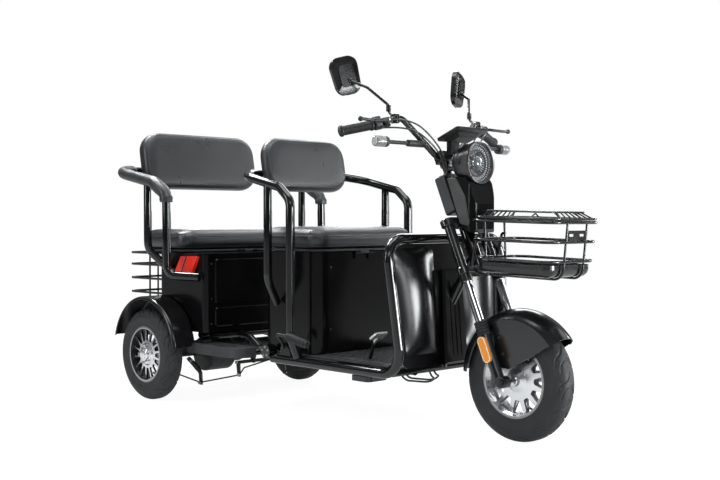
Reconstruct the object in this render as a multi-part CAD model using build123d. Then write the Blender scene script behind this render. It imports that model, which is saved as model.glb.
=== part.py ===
from build123d import *
import os
from math import cos, pi, radians, sin, tan

# Electric passenger tricycle: one steered front wheel, two rear wheels, a
# driver's seat over a battery box and a two-place bench over a storage box.
# Millimetres.  +Z is up, the front of the vehicle points to -Y and its left
# side to +X.  The origin is on the ground, midway along and across the vehicle.

# ---- driving dimensions --------------------------------------------------
WHEELBASE = 1584.0
REAR_TRACK = 791.0
REAR_AXLE_Y = 745.0
FRONT_AXLE_Y = REAR_AXLE_Y - WHEELBASE

# tyres: 3.00-10 in front, 3.00-8 behind
FRONT_TYRE_D = 411.0
FRONT_TYRE_W = 86.0
FRONT_RIM_D = 262.0
REAR_TYRE_D = 371.0
REAR_TYRE_W = 82.0
REAR_RIM_D = 238.0
FRONT_AXLE_Z = FRONT_TYRE_D / 2
REAR_AXLE_Z = REAR_TYRE_D / 2
AXLE_R = 6.0
HALF_SHAFT_R = 10.0
RUNNING_GAP = 0.06
FIT_GAP = 0.5

# steering
RAKE = 23.5
AXLE_LEAD = 17.0
FORK_HALF = 85.0
STANCHION_R = 14.5
UPPER_TUBE_R = 18.0
FORK_LEG_R = 19.5
LOWER_CLAMP_Z = 562.0
UPPER_CLAMP_Z = 724.0
CLAMP_T = 26.0
CLAMP_DEPTH = 52.0
STEM_R = 14.0
BAR_R = 11.0

# bars of the body
GUARD_R = 17.5
HOOP_R = 17.0
POST_R = 16.0
NECK_R = 17.0
RAIL_R = 15.0
CROSS_R = 12.0
WIRE_R = 4.0
RIM_WIRE_R = 5.0

# floor and leg guard
FLOOR_Z = 232.0
FLOOR_T = 6.0
FLOOR_HALF = 248.0
FLOOR_FRONT = -516.0
FLOOR_BACK = 285.0
GUARD_LOW = (270.0, -556.0, 214.0)
GUARD_HIGH = (304.0, -514.0, 672.0)
GUARD_END_Y = 118.0
SHIELD_FOOT_Y = -544.0
SHIELD_TILT = 5.0
PEDAL_X = 178.0

# boxes under the seats
SEAT_BOX_HALF = 235.0
SEAT_BOX_FRONT = -95.0
SEAT_BOX_BACK = 225.0
SEAT_BOX_TOP = 616.0
REAR_BOX_HALF = 330.0
REAR_BOX_FRONT = 464.0
REAR_BOX_BACK = 786.0
REAR_BOX_BASE = 286.0
REAR_BOX_TOP = 601.0
REAR_RAIL_Z = REAR_BOX_BASE - RAIL_R - 1.0
BOX_WALL = 5.0
BOX_CORNER_R = 55.0
LID_GAP = 3.0
SEAT_BASE_T = 9.0

# seats and backrests: width, depth or thickness, height
DRIVER_SEAT = (540.0, 355.0, 80.0)
DRIVER_SEAT_FRONT = -130.0
REAR_SEAT = (670.0, 345.0, 80.0)
REAR_SEAT_FRONT = 600.0
DRIVER_PAD = (430.0, 62.0, 222.0)
DRIVER_PAD_Y = 247.0
DRIVER_PAD_BASE = 841.0
REAR_PAD = (608.0, 70.0, 254.0)
REAR_PAD_Y = 958.8
REAR_PAD_BASE = 863.0
PAD_RECLINE = 11.0

# hoops that carry the backrests and serve as armrests
DRIVER_HOOP_X = 312.0
DRIVER_HOOP_FRONT = -33.0
DRIVER_HOOP_POST = 96.0
DRIVER_HOOP_BACK = 290.0
REAR_HOOP_X = 416.0
REAR_HOOP_FRONT = 607.0
REAR_HOOP_POST = 740.0
REAR_HOOP_BACK = 1004.0

# basket
BASKET_HALF = 138.0
BASKET_BACK = -730.0
BASKET_TOP = 731.0
BASKET_BASE = 560.0
BASKET_TILT = 1.5

# headlamp: centre of the glass
LAMP_Y = -671.0
LAMP_Z = 930.0
LAMP_R = 73.0


def steer_plane():
    """The steering axis: +Z up the column, local +Y to the rear."""
    rake = radians(RAKE)
    origin = (0, FRONT_AXLE_Y + AXLE_LEAD, FRONT_AXLE_Z)
    return Plane(origin=origin, x_dir=(1, 0, 0), z_dir=(0, sin(rake), cos(rake)))


STEER = steer_plane()


def axis_y(z):
    """Y of the steering axis at height z."""
    return FRONT_AXLE_Y + AXLE_LEAD + (z - FRONT_AXLE_Z) * tan(radians(RAKE))


def up_axis(z):
    """Distance up the steering axis of the point at height z."""
    return (z - FRONT_AXLE_Z) / cos(radians(RAKE))


# ---- small makers --------------------------------------------------------
def tube(points, radius, bend=60.0):
    """A round bar along straight runs joined by bends."""
    path = FilletPolyline(*points, radius=bend) if len(points) > 2 else Line(*points)
    return sweep(Plane(origin=path @ 0, z_dir=path % 0) * Circle(radius), path=path)


def mirror_x(shape):
    return mirror(shape, about=Plane.YZ)


def both(shape):
    """The piece on the right side and its mirror image on the left."""
    return [shape, mirror_x(shape)]


def mirrored(half):
    """Points of a bent bar, given from its right end to the middle, carried on to the left."""
    return half + [(-p[0], p[1], p[2]) for p in reversed(half)]


def block(x0, x1, y0, y1, z0, z1):
    middle = ((x0 + x1) / 2, (y0 + y1) / 2, (z0 + z1) / 2)
    return Pos(*middle) * Box(x1 - x0, y1 - y0, z1 - z0)


def x_rod(x0, x1, y, z, radius):
    """A round bar across the vehicle."""
    return Pos((x0 + x1) / 2, y, z) * Rot(0, 90, 0) * Cylinder(radius, x1 - x0)


def side_plate(points, x0, x1, bend=0.0):
    """A plate across X whose outline is given as (y, z) points."""
    outline = FilletPolyline(*points, radius=bend, close=True) if bend else Polyline(*points, close=True)
    face = Plane(origin=(x0, 0, 0), x_dir=(0, 1, 0), z_dir=(1, 0, 0)) * make_face(outline)
    return extrude(face, x1 - x0)


def pad(size, corner_r, edge_r):
    """A cushion lying flat: rounded outline, softened edges."""
    body = Box(*size)
    body = fillet(body.edges().filter_by(Axis.Z), corner_r)
    return fillet(body.faces().filter_by(Axis.Z).edges(), edge_r)


def save(name, *solids):
    pieces = []
    for solid in solids:
        pieces.extend(solid if isinstance(solid, list) else [solid])
    shape = pieces[0] if len(pieces) == 1 else Compound(children=pieces)
    export_step(shape, "parts/" + name + ".step")


# ---- wheels --------------------------------------------------------------
LIP_H = 10.0
LIP_T = 3.5
LIP_INSET = 6.0
WELL_T = 4.0
BEAD_GAP = 0.2


def tyre(outer_d, width, rim_d):
    """Tyre revolved about the X axis, seated between the rim's lips."""
    crown = outer_d / 2
    half = width / 2
    seat = rim_d / 2 - LIP_H
    bead_x = half - LIP_INSET - LIP_T - BEAD_GAP
    shoulder = (half * 0.74, crown - half * 0.30)
    bulge = (half, (crown + seat) / 2 + 2)
    lip_top = (bead_x, rim_d / 2 + 1.0)
    tread = ThreePointArc(shoulder, (0, crown), (-shoulder[0], shoulder[1]))
    left = ThreePointArc((-shoulder[0], shoulder[1]), (-bulge[0], bulge[1]), (-lip_top[0], lip_top[1]))
    right = ThreePointArc(lip_top, bulge, shoulder)
    base = Polyline((-lip_top[0], lip_top[1]), (-bead_x, seat), (bead_x, seat), lip_top)
    return revolve(make_face([tread, left, base, right]), Axis.X)


def rim_barrel(width, rim_d):
    """Channel that the tyre sits in."""
    half = width / 2 - LIP_INSET
    lip = rim_d / 2
    seat = lip - LIP_H
    points = [(-half, lip), (-half + LIP_T, lip), (-half + LIP_T, seat), (half - LIP_T, seat)]
    points += [(half - LIP_T, lip), (half, lip), (half, seat - WELL_T), (-half, seat - WELL_T)]
    return revolve(make_face(Polyline(*points, close=True)), Axis.X)


def spoke_disc(rim_d, hub_r, x_hub, x_rim, thick):
    """Shallow cone from the hub to the barrel, before its windows are cut."""
    outer = rim_d / 2 - LIP_H - 1.0
    inner = 0.8 * hub_r
    points = [(x_hub, inner), (x_rim, outer), (x_rim + thick, outer), (x_hub + thick, inner)]
    return revolve(make_face(Polyline(*points, close=True)), Axis.X)


def spoke_windows(count, r_in, r_out, spoke_in, spoke_out):
    """Tapered openings between the spokes, cut through along X."""
    half_in = pi * r_in / count - spoke_in / 2
    half_out = pi * r_out / count - spoke_out / 2
    outline = Polyline((r_in, -half_in), (r_out, -half_out), (r_out, half_out), (r_in, half_in), close=True)
    face = fillet(make_face(outline).vertices(), min(half_in, half_out) * 0.8)
    # sketch X becomes the radius (world Z) and sketch Y the tangent (world Y)
    window = extrude(Plane(origin=(0, 0, 0), x_dir=(0, 0, 1), z_dir=(1, 0, 0)) * face, 80, both=True)
    return [Rot(360.0 * i / count, 0, 0) * window for i in range(count)]


def hub_profile(points):
    """Turned hub: (x, radius) points revolved about the axle."""
    outline = Polyline(*points, (points[-1][0], 0), (points[0][0], 0), close=True)
    return revolve(make_face(outline), Axis.X)


FRONT_SPOKES = 12
REAR_SPOKES = 16
FRONT_HUB = ((-42, 17), (-40, 19), (-27, 21), (-19, 40), (-14, 46), (16, 46), (20, 40), (27, 24), (42, 22))
REAR_HUB = ((-44, 20), (-41, 27), (-33, 30), (-30, 40), (-22, 47), (-12, 50), (24, 50), (27, 46))
BOLT_RING_R = 35.0


def front_rim():
    disc = spoke_disc(FRONT_RIM_D, 46, -19, -7, 8) + spoke_disc(FRONT_RIM_D, 46, 10, -1, 8)
    disc -= spoke_windows(FRONT_SPOKES, 68, FRONT_RIM_D / 2 - LIP_H - 6, 19, 10)
    rim = rim_barrel(FRONT_TYRE_W, FRONT_RIM_D) + disc + hub_profile(FRONT_HUB)
    return rim - x_rod(-100, 100, 0, 0, AXLE_R + RUNNING_GAP)


def rear_rim():
    """Right-hand rear rim; its outer face is towards -X."""
    disc = spoke_disc(REAR_RIM_D, 48, -24, -15, 9)
    disc -= spoke_windows(REAR_SPOKES, 56, REAR_RIM_D / 2 - LIP_H - 4, 8, 7)
    rim = rim_barrel(REAR_TYRE_W, REAR_RIM_D) + disc + hub_profile(REAR_HUB)
    for i in range(5):
        turn = 2 * pi * i / 5
        rim += x_rod(-37, -25, BOLT_RING_R * cos(turn), BOLT_RING_R * sin(turn), 5.5)
    return rim - x_rod(-25, 65, 0, 0, HALF_SHAFT_R + RUNNING_GAP)


def make_wheels():
    front = Pos(0, FRONT_AXLE_Y, FRONT_AXLE_Z)
    save("front_tyre", front * tyre(FRONT_TYRE_D, FRONT_TYRE_W, FRONT_RIM_D))
    save("front_rim", front * front_rim())
    right = Pos(-REAR_TRACK / 2, REAR_AXLE_Y, REAR_AXLE_Z)
    rear_tyre = right * tyre(REAR_TYRE_D, REAR_TYRE_W, REAR_RIM_D)
    rim = right * rear_rim()
    save("rear_tyre_right", rear_tyre)
    save("rear_rim_right", rim)
    save("rear_tyre_left", mirror_x(rear_tyre))
    save("rear_rim_left", mirror_x(rim))


# ---- rear axle, motor, springs, brake linkage ----------------------------
DRUM_X = REAR_TRACK / 2 - 34.0
DRUM_R = 62.0
AXLE_TUBE_R = 26.0
DIFF_R = 66.0
DIFF_HALF = 60.0
MOTOR_R = 72.0
MOTOR_LEN = 124.0
SPRING_X = 262.0
SPRING_W = 44.0
SPRING_LEAF_T = 6.0
SPRING_EYE_R = 9.0
SPRING_FRONT = REAR_AXLE_Y - 190.0
SPRING_BACK = REAR_AXLE_Y + 190.0
SPRING_SAG = 26.0
SPRING_EYE_Z = REAR_RAIL_Z - CROSS_R - SPRING_EYE_R


def make_rear_axle():
    """Axle tube with the differential in its middle and a brake plate at each end."""
    axle = x_rod(-DRUM_X + 8, DRUM_X - 8, REAR_AXLE_Y, REAR_AXLE_Z, AXLE_TUBE_R)
    diff = Pos(0, REAR_AXLE_Y, REAR_AXLE_Z) * Rot(0, 90, 0) * Cylinder(DIFF_R, 2 * DIFF_HALF)
    axle += fillet(diff.edges(), 20)
    plate = x_rod(-DRUM_X, -DRUM_X + 12, REAR_AXLE_Y, REAR_AXLE_Z, DRUM_R)
    plate += x_rod(-DRUM_X + 12, -DRUM_X + 24, REAR_AXLE_Y, REAR_AXLE_Z, DRUM_R - 18)
    shaft = x_rod(-DRUM_X - 58, -DRUM_X + 20, REAR_AXLE_Y, REAR_AXLE_Z, HALF_SHAFT_R)
    axle += [plate, shaft, mirror_x(plate), mirror_x(shaft)]
    save("rear_axle", axle)
    motor = x_rod(-DIFF_HALF - 2 - MOTOR_LEN, -DIFF_HALF - 2, REAR_AXLE_Y - 62, REAR_AXLE_Z - 12, MOTOR_R)
    motor = fillet(motor.edges(), 8)
    save("drive_motor", motor - x_rod(-400, 400, REAR_AXLE_Y, REAR_AXLE_Z, AXLE_TUBE_R + FIT_GAP))


def leaf(y0, y1, drop, low):
    """One curved leaf between y0 and y1 whose middle lies at height low."""
    middle = REAR_AXLE_Y
    under = ThreePointArc((y0, low + drop), (middle, low), (y1, low + drop))
    over = ThreePointArc((y1, low + drop + SPRING_LEAF_T), (middle, low + SPRING_LEAF_T), (y0, low + drop + SPRING_LEAF_T))
    ends = [Line(under @ 1, over @ 0), Line(over @ 1, under @ 0)]
    face = Plane(origin=(0, 0, 0), x_dir=(0, 1, 0), z_dir=(1, 0, 0)) * make_face([under, ends[0], over, ends[1]])
    return Pos(-SPRING_X, 0, 0) * extrude(face, SPRING_W / 2, both=True)


def make_springs():
    """Leaf springs between the rear cross members, clamped on the axle tube."""
    low = SPRING_EYE_Z - SPRING_SAG
    spring = leaf(SPRING_FRONT, SPRING_BACK, SPRING_SAG, low)
    spring += leaf(SPRING_FRONT + 50, SPRING_BACK - 50, SPRING_SAG * 0.54, low - SPRING_LEAF_T)
    spring += leaf(SPRING_FRONT + 100, SPRING_BACK - 100, SPRING_SAG * 0.22, low - 2 * SPRING_LEAF_T)
    half = SPRING_W / 2
    for y in (SPRING_FRONT, SPRING_BACK):
        spring += x_rod(-SPRING_X - half, -SPRING_X + half, y, SPRING_EYE_Z, SPRING_EYE_R)
    saddle_top = low - 2 * SPRING_LEAF_T + 1
    saddle = block(-SPRING_X - half, -SPRING_X + half, REAR_AXLE_Y - 30, REAR_AXLE_Y + 30, REAR_AXLE_Z, saddle_top)
    spring += saddle
    spring -= x_rod(-400, 400, REAR_AXLE_Y, REAR_AXLE_Z, AXLE_TUBE_R + RUNNING_GAP)
    save("rear_springs", both(spring))


LINK_X = 226.0
LINK_SHAFT_Y = 388.0
LINK_SHAFT_Z = 168.0
CRANK_Y = 640.0


def make_brake_linkage():
    """Cross shaft, hanging arms and pull rods that work the two drum brakes."""
    shaft = x_rod(-LINK_X - 8, LINK_X + 8, LINK_SHAFT_Y, LINK_SHAFT_Z, 7)
    for x in (-150, 150):
        shaft += side_plate([(372, 236), (404, 236), (398, 160), (380, 160)], x - 5, x + 5)
    arm = side_plate([(378, 172), (398, 172), (388, 112), (376, 112)], -LINK_X - 4, -LINK_X + 4)
    crank = side_plate([(738, 150), (722, 160), (655, 128), (634, 104), (630, 52), (645, 52), (650, 98)], -LINK_X - 4, -LINK_X + 4)
    pull = tube([(-LINK_X, 382, 118), (-LINK_X, 637, 62)], 3)
    drum_rod = tube([(-LINK_X, 638, 60), (-DRUM_X + 36, 700, 108), (-DRUM_X + 16, REAR_AXLE_Y - 18, 136)], 3, 16)
    forward = tube([(-LINK_X, 382, 116), (-LINK_X, 350, 150), (-LINK_X, 196, 196)], 3, 20)
    side = arm + [crank, pull, drum_rod, forward]
    linkage = shaft + [side, mirror_x(side)]
    housing = x_rod(-400, 400, REAR_AXLE_Y, REAR_AXLE_Z, AXLE_TUBE_R + FIT_GAP)
    rail = frame_rail(RAIL_R + FIT_GAP)
    save("brake_linkage", linkage - [housing, rail, mirror_x(rail)])


# ---- frame ---------------------------------------------------------------
RAIL_X = 150.0
RAIL_FRONT = -505.0
RAIL_BACK = 960.0
NECK_TUBE_R = 24.0
NECK_FOOT_Y = -495.0


def down_tube(radius):
    """Neck down to the floor rails, bent back behind the leg shield."""
    neck_low = (0, axis_y(600) + 18, 600)
    return tube([neck_low, (0, NECK_FOOT_Y - 14, 400), (0, NECK_FOOT_Y, GUARD_LOW[2])], radius, 120)


def frame_rail(radius):
    """Left-hand rail: under the floor, then up and back under the storage box."""
    low, high = GUARD_LOW[2], REAR_RAIL_Z
    return tube([(RAIL_X, RAIL_FRONT, low), (RAIL_X, 330, low), (RAIL_X, 420, high), (RAIL_X, RAIL_BACK, high)], radius, 80)


def make_frame():
    """Floor rails, neck, cross members and the step bracket under the floor."""
    low = GUARD_LOW[2]
    rail = frame_rail(RAIL_R)
    reach = GUARD_LOW[0] - GUARD_R
    board = BOARD_INNER_X
    members = [x_rod(-reach, reach, y, low, CROSS_R) for y in (NECK_FOOT_Y, -200, 80)]
    members += [x_rod(-board, board, 300, low, CROSS_R)]
    members += [x_rod(-SPRING_X - 30, SPRING_X + 30, y, REAR_RAIL_Z, CROSS_R) for y in (480, SPRING_FRONT, SPRING_BACK)]
    step = block(-RAIL_X - 98, -RAIL_X + 4, -372, -280, 170, 188)
    step = fillet(step.edges().filter_by(Axis.Z), 18)
    step += block(-RAIL_X - 12, -RAIL_X - 2, -352, -300, 187, low)
    foot = down_tube(NECK_R)
    lower, upper = up_axis(LOWER_CLAMP_Z), up_axis(UPPER_CLAMP_Z)
    head = STEER * Pos(0, 0, (lower + upper) / 2)
    head_tube = head * Cylinder(NECK_TUBE_R, upper - lower - CLAMP_T - 6)
    bridge = tube([(0, axis_y(668) + 10, 668), (0, GUARD_HIGH[1] - GUARD_R, GUARD_HIGH[2])], 13)
    frame = rail + [mirror_x(rail), foot, head_tube, bridge, step] + members
    save("main_frame", frame - head * Cylinder(STEM_R + RUNNING_GAP, 300))


BOARD_INNER_X = 238.0
END_DISC_R = 26.0


def make_guard():
    """Leg guard: one bar from floor end to floor end over the front of the floor."""
    low_x, low_y, low_z = GUARD_LOW
    high_x, high_y, high_z = GUARD_HIGH
    points = [(-low_x, GUARD_END_Y, low_z), (-low_x, low_y, low_z), (-high_x, high_y, high_z), (0, high_y, high_z)]
    right = tube(points, GUARD_R, (82, 74))
    disc = x_rod(-low_x - 20, -low_x + 17, GUARD_END_Y + 22, low_z + 24, END_DISC_R)
    guard = right + disc
    save("guard_tubes", guard + mirror_x(guard))


# ---- leg shield ----------------------------------------------------------
SHIELD_T = 5.0
WING_RISE = 27.0
WING_ACROSS_R = 175.0
WING_UP_R = 780.0
WING_CENTRE_X = 170.0
COLUMN_RISE = 22.0


def shield_plane():
    """Rear face of the leg shield: local X across, local Y up the panel."""
    tilt = radians(SHIELD_TILT)
    return Plane(origin=(0, SHIELD_FOOT_Y, FLOOR_Z), x_dir=(1, 0, 0), z_dir=(0, -cos(tilt), sin(tilt)))


def guard_inside_x(v):
    """Room for the panel inside the guard bar, at distance v up the panel."""
    z = FLOOR_Z + v * cos(radians(SHIELD_TILT))
    share = (z - GUARD_LOW[2]) / (GUARD_HIGH[2] - GUARD_LOW[2])
    return GUARD_LOW[0] + share * (GUARD_HIGH[0] - GUARD_LOW[0]) - GUARD_R - FIT_GAP


def make_leg_shield():
    """Moulded panel inside the guard: two crowned wings and a ribbed column."""
    shield = shield_plane()
    top = (GUARD_HIGH[2] - GUARD_R - 2 * FIT_GAP - FLOOR_Z) / cos(radians(SHIELD_TILT))
    low_x, high_x = guard_inside_x(0) - 4, guard_inside_x(top)
    edge = [(-low_x, 0), (-high_x, top), (high_x, top), (low_x, 0)]
    back = extrude(make_face(FilletPolyline(*edge, radius=(24, 66, 66, 24), close=True)), SHIELD_T)
    wing_edge = [(-72, 44), (-low_x + 12, 44), (-high_x + 14, top - 16), (-72, top - 16)]
    wing = extrude(make_face(FilletPolyline(*wing_edge, radius=(26, 44, 58, 26), close=True)), 60)
    middle = (44 + top) / 2
    wing &= Pos(-WING_CENTRE_X, middle, SHIELD_T + WING_RISE - WING_ACROSS_R) * Rot(90, 0, 0) * Cylinder(WING_ACROSS_R, 600)
    wing &= Pos(-WING_CENTRE_X, middle, SHIELD_T + WING_RISE - WING_UP_R) * Rot(0, 90, 0) * Cylinder(WING_UP_R, 400)
    column = extrude(make_face(Polyline((-62, 0), (-46, 330), (46, 330), (62, 0), close=True)), SHIELD_T + COLUMN_RISE)
    column = chamfer(column.faces().sort_by(Axis.Z)[-1].edges(), 8)
    grooves = [Pos(x, 160, SHIELD_T + COLUMN_RISE) * Box(5, 260, 6) for x in (-22, 0, 22)]
    local = back + [wing, mirror_x(wing), column] - grooves
    save("leg_shield", shield * local - down_tube(NECK_R + FIT_GAP))


# ---- floor ---------------------------------------------------------------
MAT_T = 3.0
MAT_RIB_T = 3.0
MAT_RIB_W = 8.0
MAT_RIB_PITCH = 24.0
PEDAL_SLOT = (-352.0, -282.0)


def make_floor():
    """Floor plate with a moulded ribbed foot mat in front of the driver's seat."""
    floor = block(-FLOOR_HALF, FLOOR_HALF, FLOOR_FRONT, FLOOR_BACK, FLOOR_Z, FLOOR_Z + FLOOR_T)
    mat_z = FLOOR_Z + FLOOR_T
    floor += block(-FLOOR_HALF + 12, FLOOR_HALF - 12, FLOOR_FRONT + 12, SEAT_BOX_FRONT - 6, mat_z, mat_z + MAT_T)
    count = int((2 * FLOOR_HALF - 60) / MAT_RIB_PITCH)
    first = -MAT_RIB_PITCH * (count - 1) / 2
    ribs = []
    for i in range(count):
        x = first + i * MAT_RIB_PITCH
        rib = block(x - MAT_RIB_W / 2, x + MAT_RIB_W / 2, FLOOR_FRONT + 26, SEAT_BOX_FRONT - 16, mat_z + MAT_T, mat_z + MAT_T + MAT_RIB_T)
        ribs.append(rib)
    notch = block(-FLOOR_HALF - 1, -BOARD_INNER_X + 4, BOARD_INNER_FRONT_Y - 4, FLOOR_BACK + 1, FLOOR_Z - 1, FLOOR_Z + 20)
    slot = block(-PEDAL_X - 9, -PEDAL_X + 9, PEDAL_SLOT[0], PEDAL_SLOT[1], FLOOR_Z - 1, FLOOR_Z + 40)
    save("floor_pan", floor + ribs - [slot, notch, mirror_x(notch), down_tube(NECK_R + FIT_GAP)])


# ---- boxes under the seats -----------------------------------------------
HINGE_R = 5.0
HINGE_HALF = 20.0
HINGE_REACH = 50.0
DRIVER_HINGE_Y = SEAT_BOX_FRONT - HINGE_R - 1.0
DRIVER_HINGE_Z = SEAT_BOX_TOP - 3.0
REAR_HINGE_Y = REAR_SEAT_FRONT + 9.0
REAR_HINGE_Z = REAR_BOX_TOP + HINGE_R + 0.5
REAR_SEAT_INSET = 18.0
BATTERY = (320.0, 180.0, 210.0)
PANEL_RISE = 5.0
PANEL_SPLIT_Z = 393.0
TRIM_DROP = 15.0


def open_box(half, y0, y1, z0, z1, corner, wall):
    outer = block(-half, half, y0, y1, z0, z1)
    outer = fillet(outer.edges().filter_by(Axis.Z), corner)
    inner = block(-half + wall, half - wall, y0 + wall, y1 - wall, z0 + wall, z1 + 1)
    return outer - fillet(inner.edges().filter_by(Axis.Z), corner - wall)


def outer_knuckles(y, z, strip):
    """The box side of a lid hinge: two knuckles, each with the strip that holds it."""
    knuckle = x_rod(-HINGE_REACH, -HINGE_HALF - FIT_GAP, y, z, HINGE_R) + strip
    return [knuckle, mirror_x(knuckle)]


def make_seat_box():
    base = FLOOR_Z + FLOOR_T
    box = open_box(SEAT_BOX_HALF, SEAT_BOX_FRONT, SEAT_BOX_BACK, base, SEAT_BOX_TOP, BOX_CORNER_R, BOX_WALL)
    hinge_y, hinge_z = DRIVER_HINGE_Y, DRIVER_HINGE_Z
    strip = block(-HINGE_REACH, -HINGE_HALF - FIT_GAP, hinge_y, SEAT_BOX_FRONT + 1, hinge_z - 24, hinge_z)
    save("seat_box", box + outer_knuckles(hinge_y, hinge_z, strip))
    width, depth, height = BATTERY
    inside = base + BOX_WALL
    middle_y = (SEAT_BOX_FRONT + SEAT_BOX_BACK) / 2 + 20
    save("battery", block(-width / 2, width / 2, middle_y - depth / 2, middle_y + depth / 2, inside, inside + height))


def make_rear_box():
    """Storage box with a fixed deck in front of the bench and a panelled front face."""
    box = open_box(REAR_BOX_HALF, REAR_BOX_FRONT, REAR_BOX_BACK, REAR_BOX_BASE, REAR_BOX_TOP, 22, BOX_WALL)
    box += block(-REAR_BOX_HALF + 3, REAR_BOX_HALF - 3, REAR_BOX_FRONT + 3, REAR_HINGE_Y + 3, REAR_BOX_TOP - 6, REAR_BOX_TOP)
    for z0, z1 in ((REAR_BOX_BASE + 22, PANEL_SPLIT_Z - 7), (PANEL_SPLIT_Z + 7, REAR_BOX_TOP - TRIM_DROP - 6)):
        panel = block(-REAR_BOX_HALF + 46, REAR_BOX_HALF - 46, REAR_BOX_FRONT - PANEL_RISE, REAR_BOX_FRONT + 1, z0, z1)
        panel = fillet(panel.edges().filter_by(Axis.Y), 14)
        box += chamfer(panel.faces().sort_by(Axis.Y)[0].edges(), PANEL_RISE - 1)
    trim_low, trim_high = REAR_BOX_TOP - TRIM_DROP, REAR_BOX_TOP - TRIM_DROP + 6
    box += block(-REAR_BOX_HALF + 24, REAR_BOX_HALF - 24, REAR_BOX_FRONT - 3, REAR_BOX_FRONT + 1, trim_low, trim_high)
    strip = block(-HINGE_REACH, -HINGE_HALF - FIT_GAP, REAR_HINGE_Y - 4, REAR_HINGE_Y + 3, REAR_BOX_TOP - 1, REAR_HINGE_Z)
    save("rear_box", box + outer_knuckles(REAR_HINGE_Y, REAR_HINGE_Z, strip))


# ---- seats ---------------------------------------------------------------
def make_seats():
    """Cushions on plastic trays; each tray carries the middle knuckle of its hinge."""
    width, depth, height = DRIVER_SEAT
    y = DRIVER_SEAT_FRONT + depth / 2
    z = SEAT_BOX_TOP + LID_GAP
    tray = Pos(0, y, z + SEAT_BASE_T / 2) * pad((width - 60, depth - 50, SEAT_BASE_T), 40, 2)
    tray += x_rod(-HINGE_HALF, HINGE_HALF, DRIVER_HINGE_Y, DRIVER_HINGE_Z, HINGE_R)
    tray += block(-HINGE_HALF, HINGE_HALF, DRIVER_HINGE_Y - HINGE_R, DRIVER_HINGE_Y - 1, DRIVER_HINGE_Z, z + 3)
    save("driver_seat_base", tray)
    save("driver_seat", Pos(0, y, z + SEAT_BASE_T + height / 2) * pad(DRIVER_SEAT, 60, 22))
    width, depth, height = REAR_SEAT
    y = REAR_SEAT_FRONT + depth / 2
    z = REAR_BOX_TOP + LID_GAP
    tray = Pos(0, y, z + SEAT_BASE_T / 2) * pad((width - 40, depth - 2 * REAR_SEAT_INSET, SEAT_BASE_T), 40, 2)
    tray += x_rod(-HINGE_HALF, HINGE_HALF, REAR_HINGE_Y, REAR_HINGE_Z, HINGE_R)
    tray += block(-HINGE_HALF, HINGE_HALF, REAR_HINGE_Y, REAR_SEAT_FRONT + REAR_SEAT_INSET + 8, z, z + 4)
    save("rear_seat_base", tray)
    save("rear_seat", Pos(0, y, z + SEAT_BASE_T + height / 2) * pad(REAR_SEAT, 60, 24))


def upright_pad(size, middle_y, base_z, corner_r):
    width, thick, height = size
    flat = pad((width, height, thick), corner_r, 20)
    return Pos(0, middle_y, base_z + height / 2) * Rot(90 - PAD_RECLINE, 0, 0) * flat


def make_backrests():
    save("driver_backrest", upright_pad(DRIVER_PAD, DRIVER_PAD_Y, DRIVER_PAD_BASE, 78))
    save("rear_backrest", upright_pad(REAR_PAD, REAR_PAD_Y, REAR_PAD_BASE, 84))


# ---- hoops ---------------------------------------------------------------
def bent_bar(points, radii, radius):
    path = FilletPolyline(*points, radius=radii)
    return sweep(Plane(origin=path @ 0, z_dir=path % 0) * Circle(radius), path=path)


def make_driver_hoop():
    """Front posts from the floor bars, arms, and the bar behind the backrest in one bend."""
    x, y, back = DRIVER_HOOP_X, DRIVER_HOOP_FRONT, DRIVER_HOOP_BACK
    foot_z = GUARD_LOW[2] + GUARD_R + 1
    half = [(-GUARD_LOW[0] - 6, y, foot_z), (-x, y, 310), (-x, y, 806), (-x, y + 60, 856), (-x, back, 916)]
    radii = (60, 52, 40, 118)
    hoop = bent_bar(mirrored(half), radii + radii[::-1], HOOP_R)
    foot = (-SEAT_BOX_HALF - POST_R - 1, DRIVER_HOOP_POST + 20, 420)
    post = tube([foot, (-x, DRIVER_HOOP_POST, 508), (-x, DRIVER_HOOP_POST, 872)], POST_R, 80)
    save("driver_hoop", hoop + [post, mirror_x(post)])


REAR_ARM_Z = (838.0, 888.0, 945.0)
REAR_RADII = (45, 52, 40, 118)
SLEEVE_R = 23.5
SLEEVE_START_Z = 804.0
SLEEVE_END_X = REAR_PAD[0] / 2 + 2.0


def rear_hoop_half():
    x, y, back = REAR_HOOP_X, REAR_HOOP_FRONT, REAR_HOOP_BACK
    low, middle, high = REAR_ARM_Z
    return [(-REAR_BOX_HALF - 18, y - 128, 507), (-x, y - 5, 513), (-x, y, low), (-x, y + 90, middle), (-x, back, high)]


def make_rear_hoop():
    half = rear_hoop_half()
    hoop = bent_bar(mirrored(half), REAR_RADII + REAR_RADII[::-1], HOOP_R)
    x = REAR_HOOP_X
    foot = (-REAR_BOX_HALF - POST_R - 1, REAR_HOOP_POST - 30, 545)
    post = tube([foot, (-x, REAR_HOOP_POST, 615), (-x, REAR_HOOP_POST, 908)], POST_R, 70)
    save("rear_hoop", hoop + [post, mirror_x(post)])
    front, middle, high = half[2], half[3], half[4]
    points = [(front[0], front[1], SLEEVE_START_Z), front, middle, high, (-SLEEVE_END_X + 40, high[1], high[2])]
    sleeve = bent_bar(points, REAR_RADII[1:], SLEEVE_R)
    collar = Pos(front[0], front[1], SLEEVE_START_Z + 9) * Cylinder(SLEEVE_R + 2.5, 20)
    past_end = block(-SLEEVE_END_X, 0, high[1] - 60, high[1] + 60, high[2] - 60, high[2] + 60)
    bar_inside = bent_bar(mirrored(half), REAR_RADII + REAR_RADII[::-1], HOOP_R + RUNNING_GAP)
    right = sleeve + collar - bar_inside - post - past_end
    save("armrest_pads", both(right))


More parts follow.
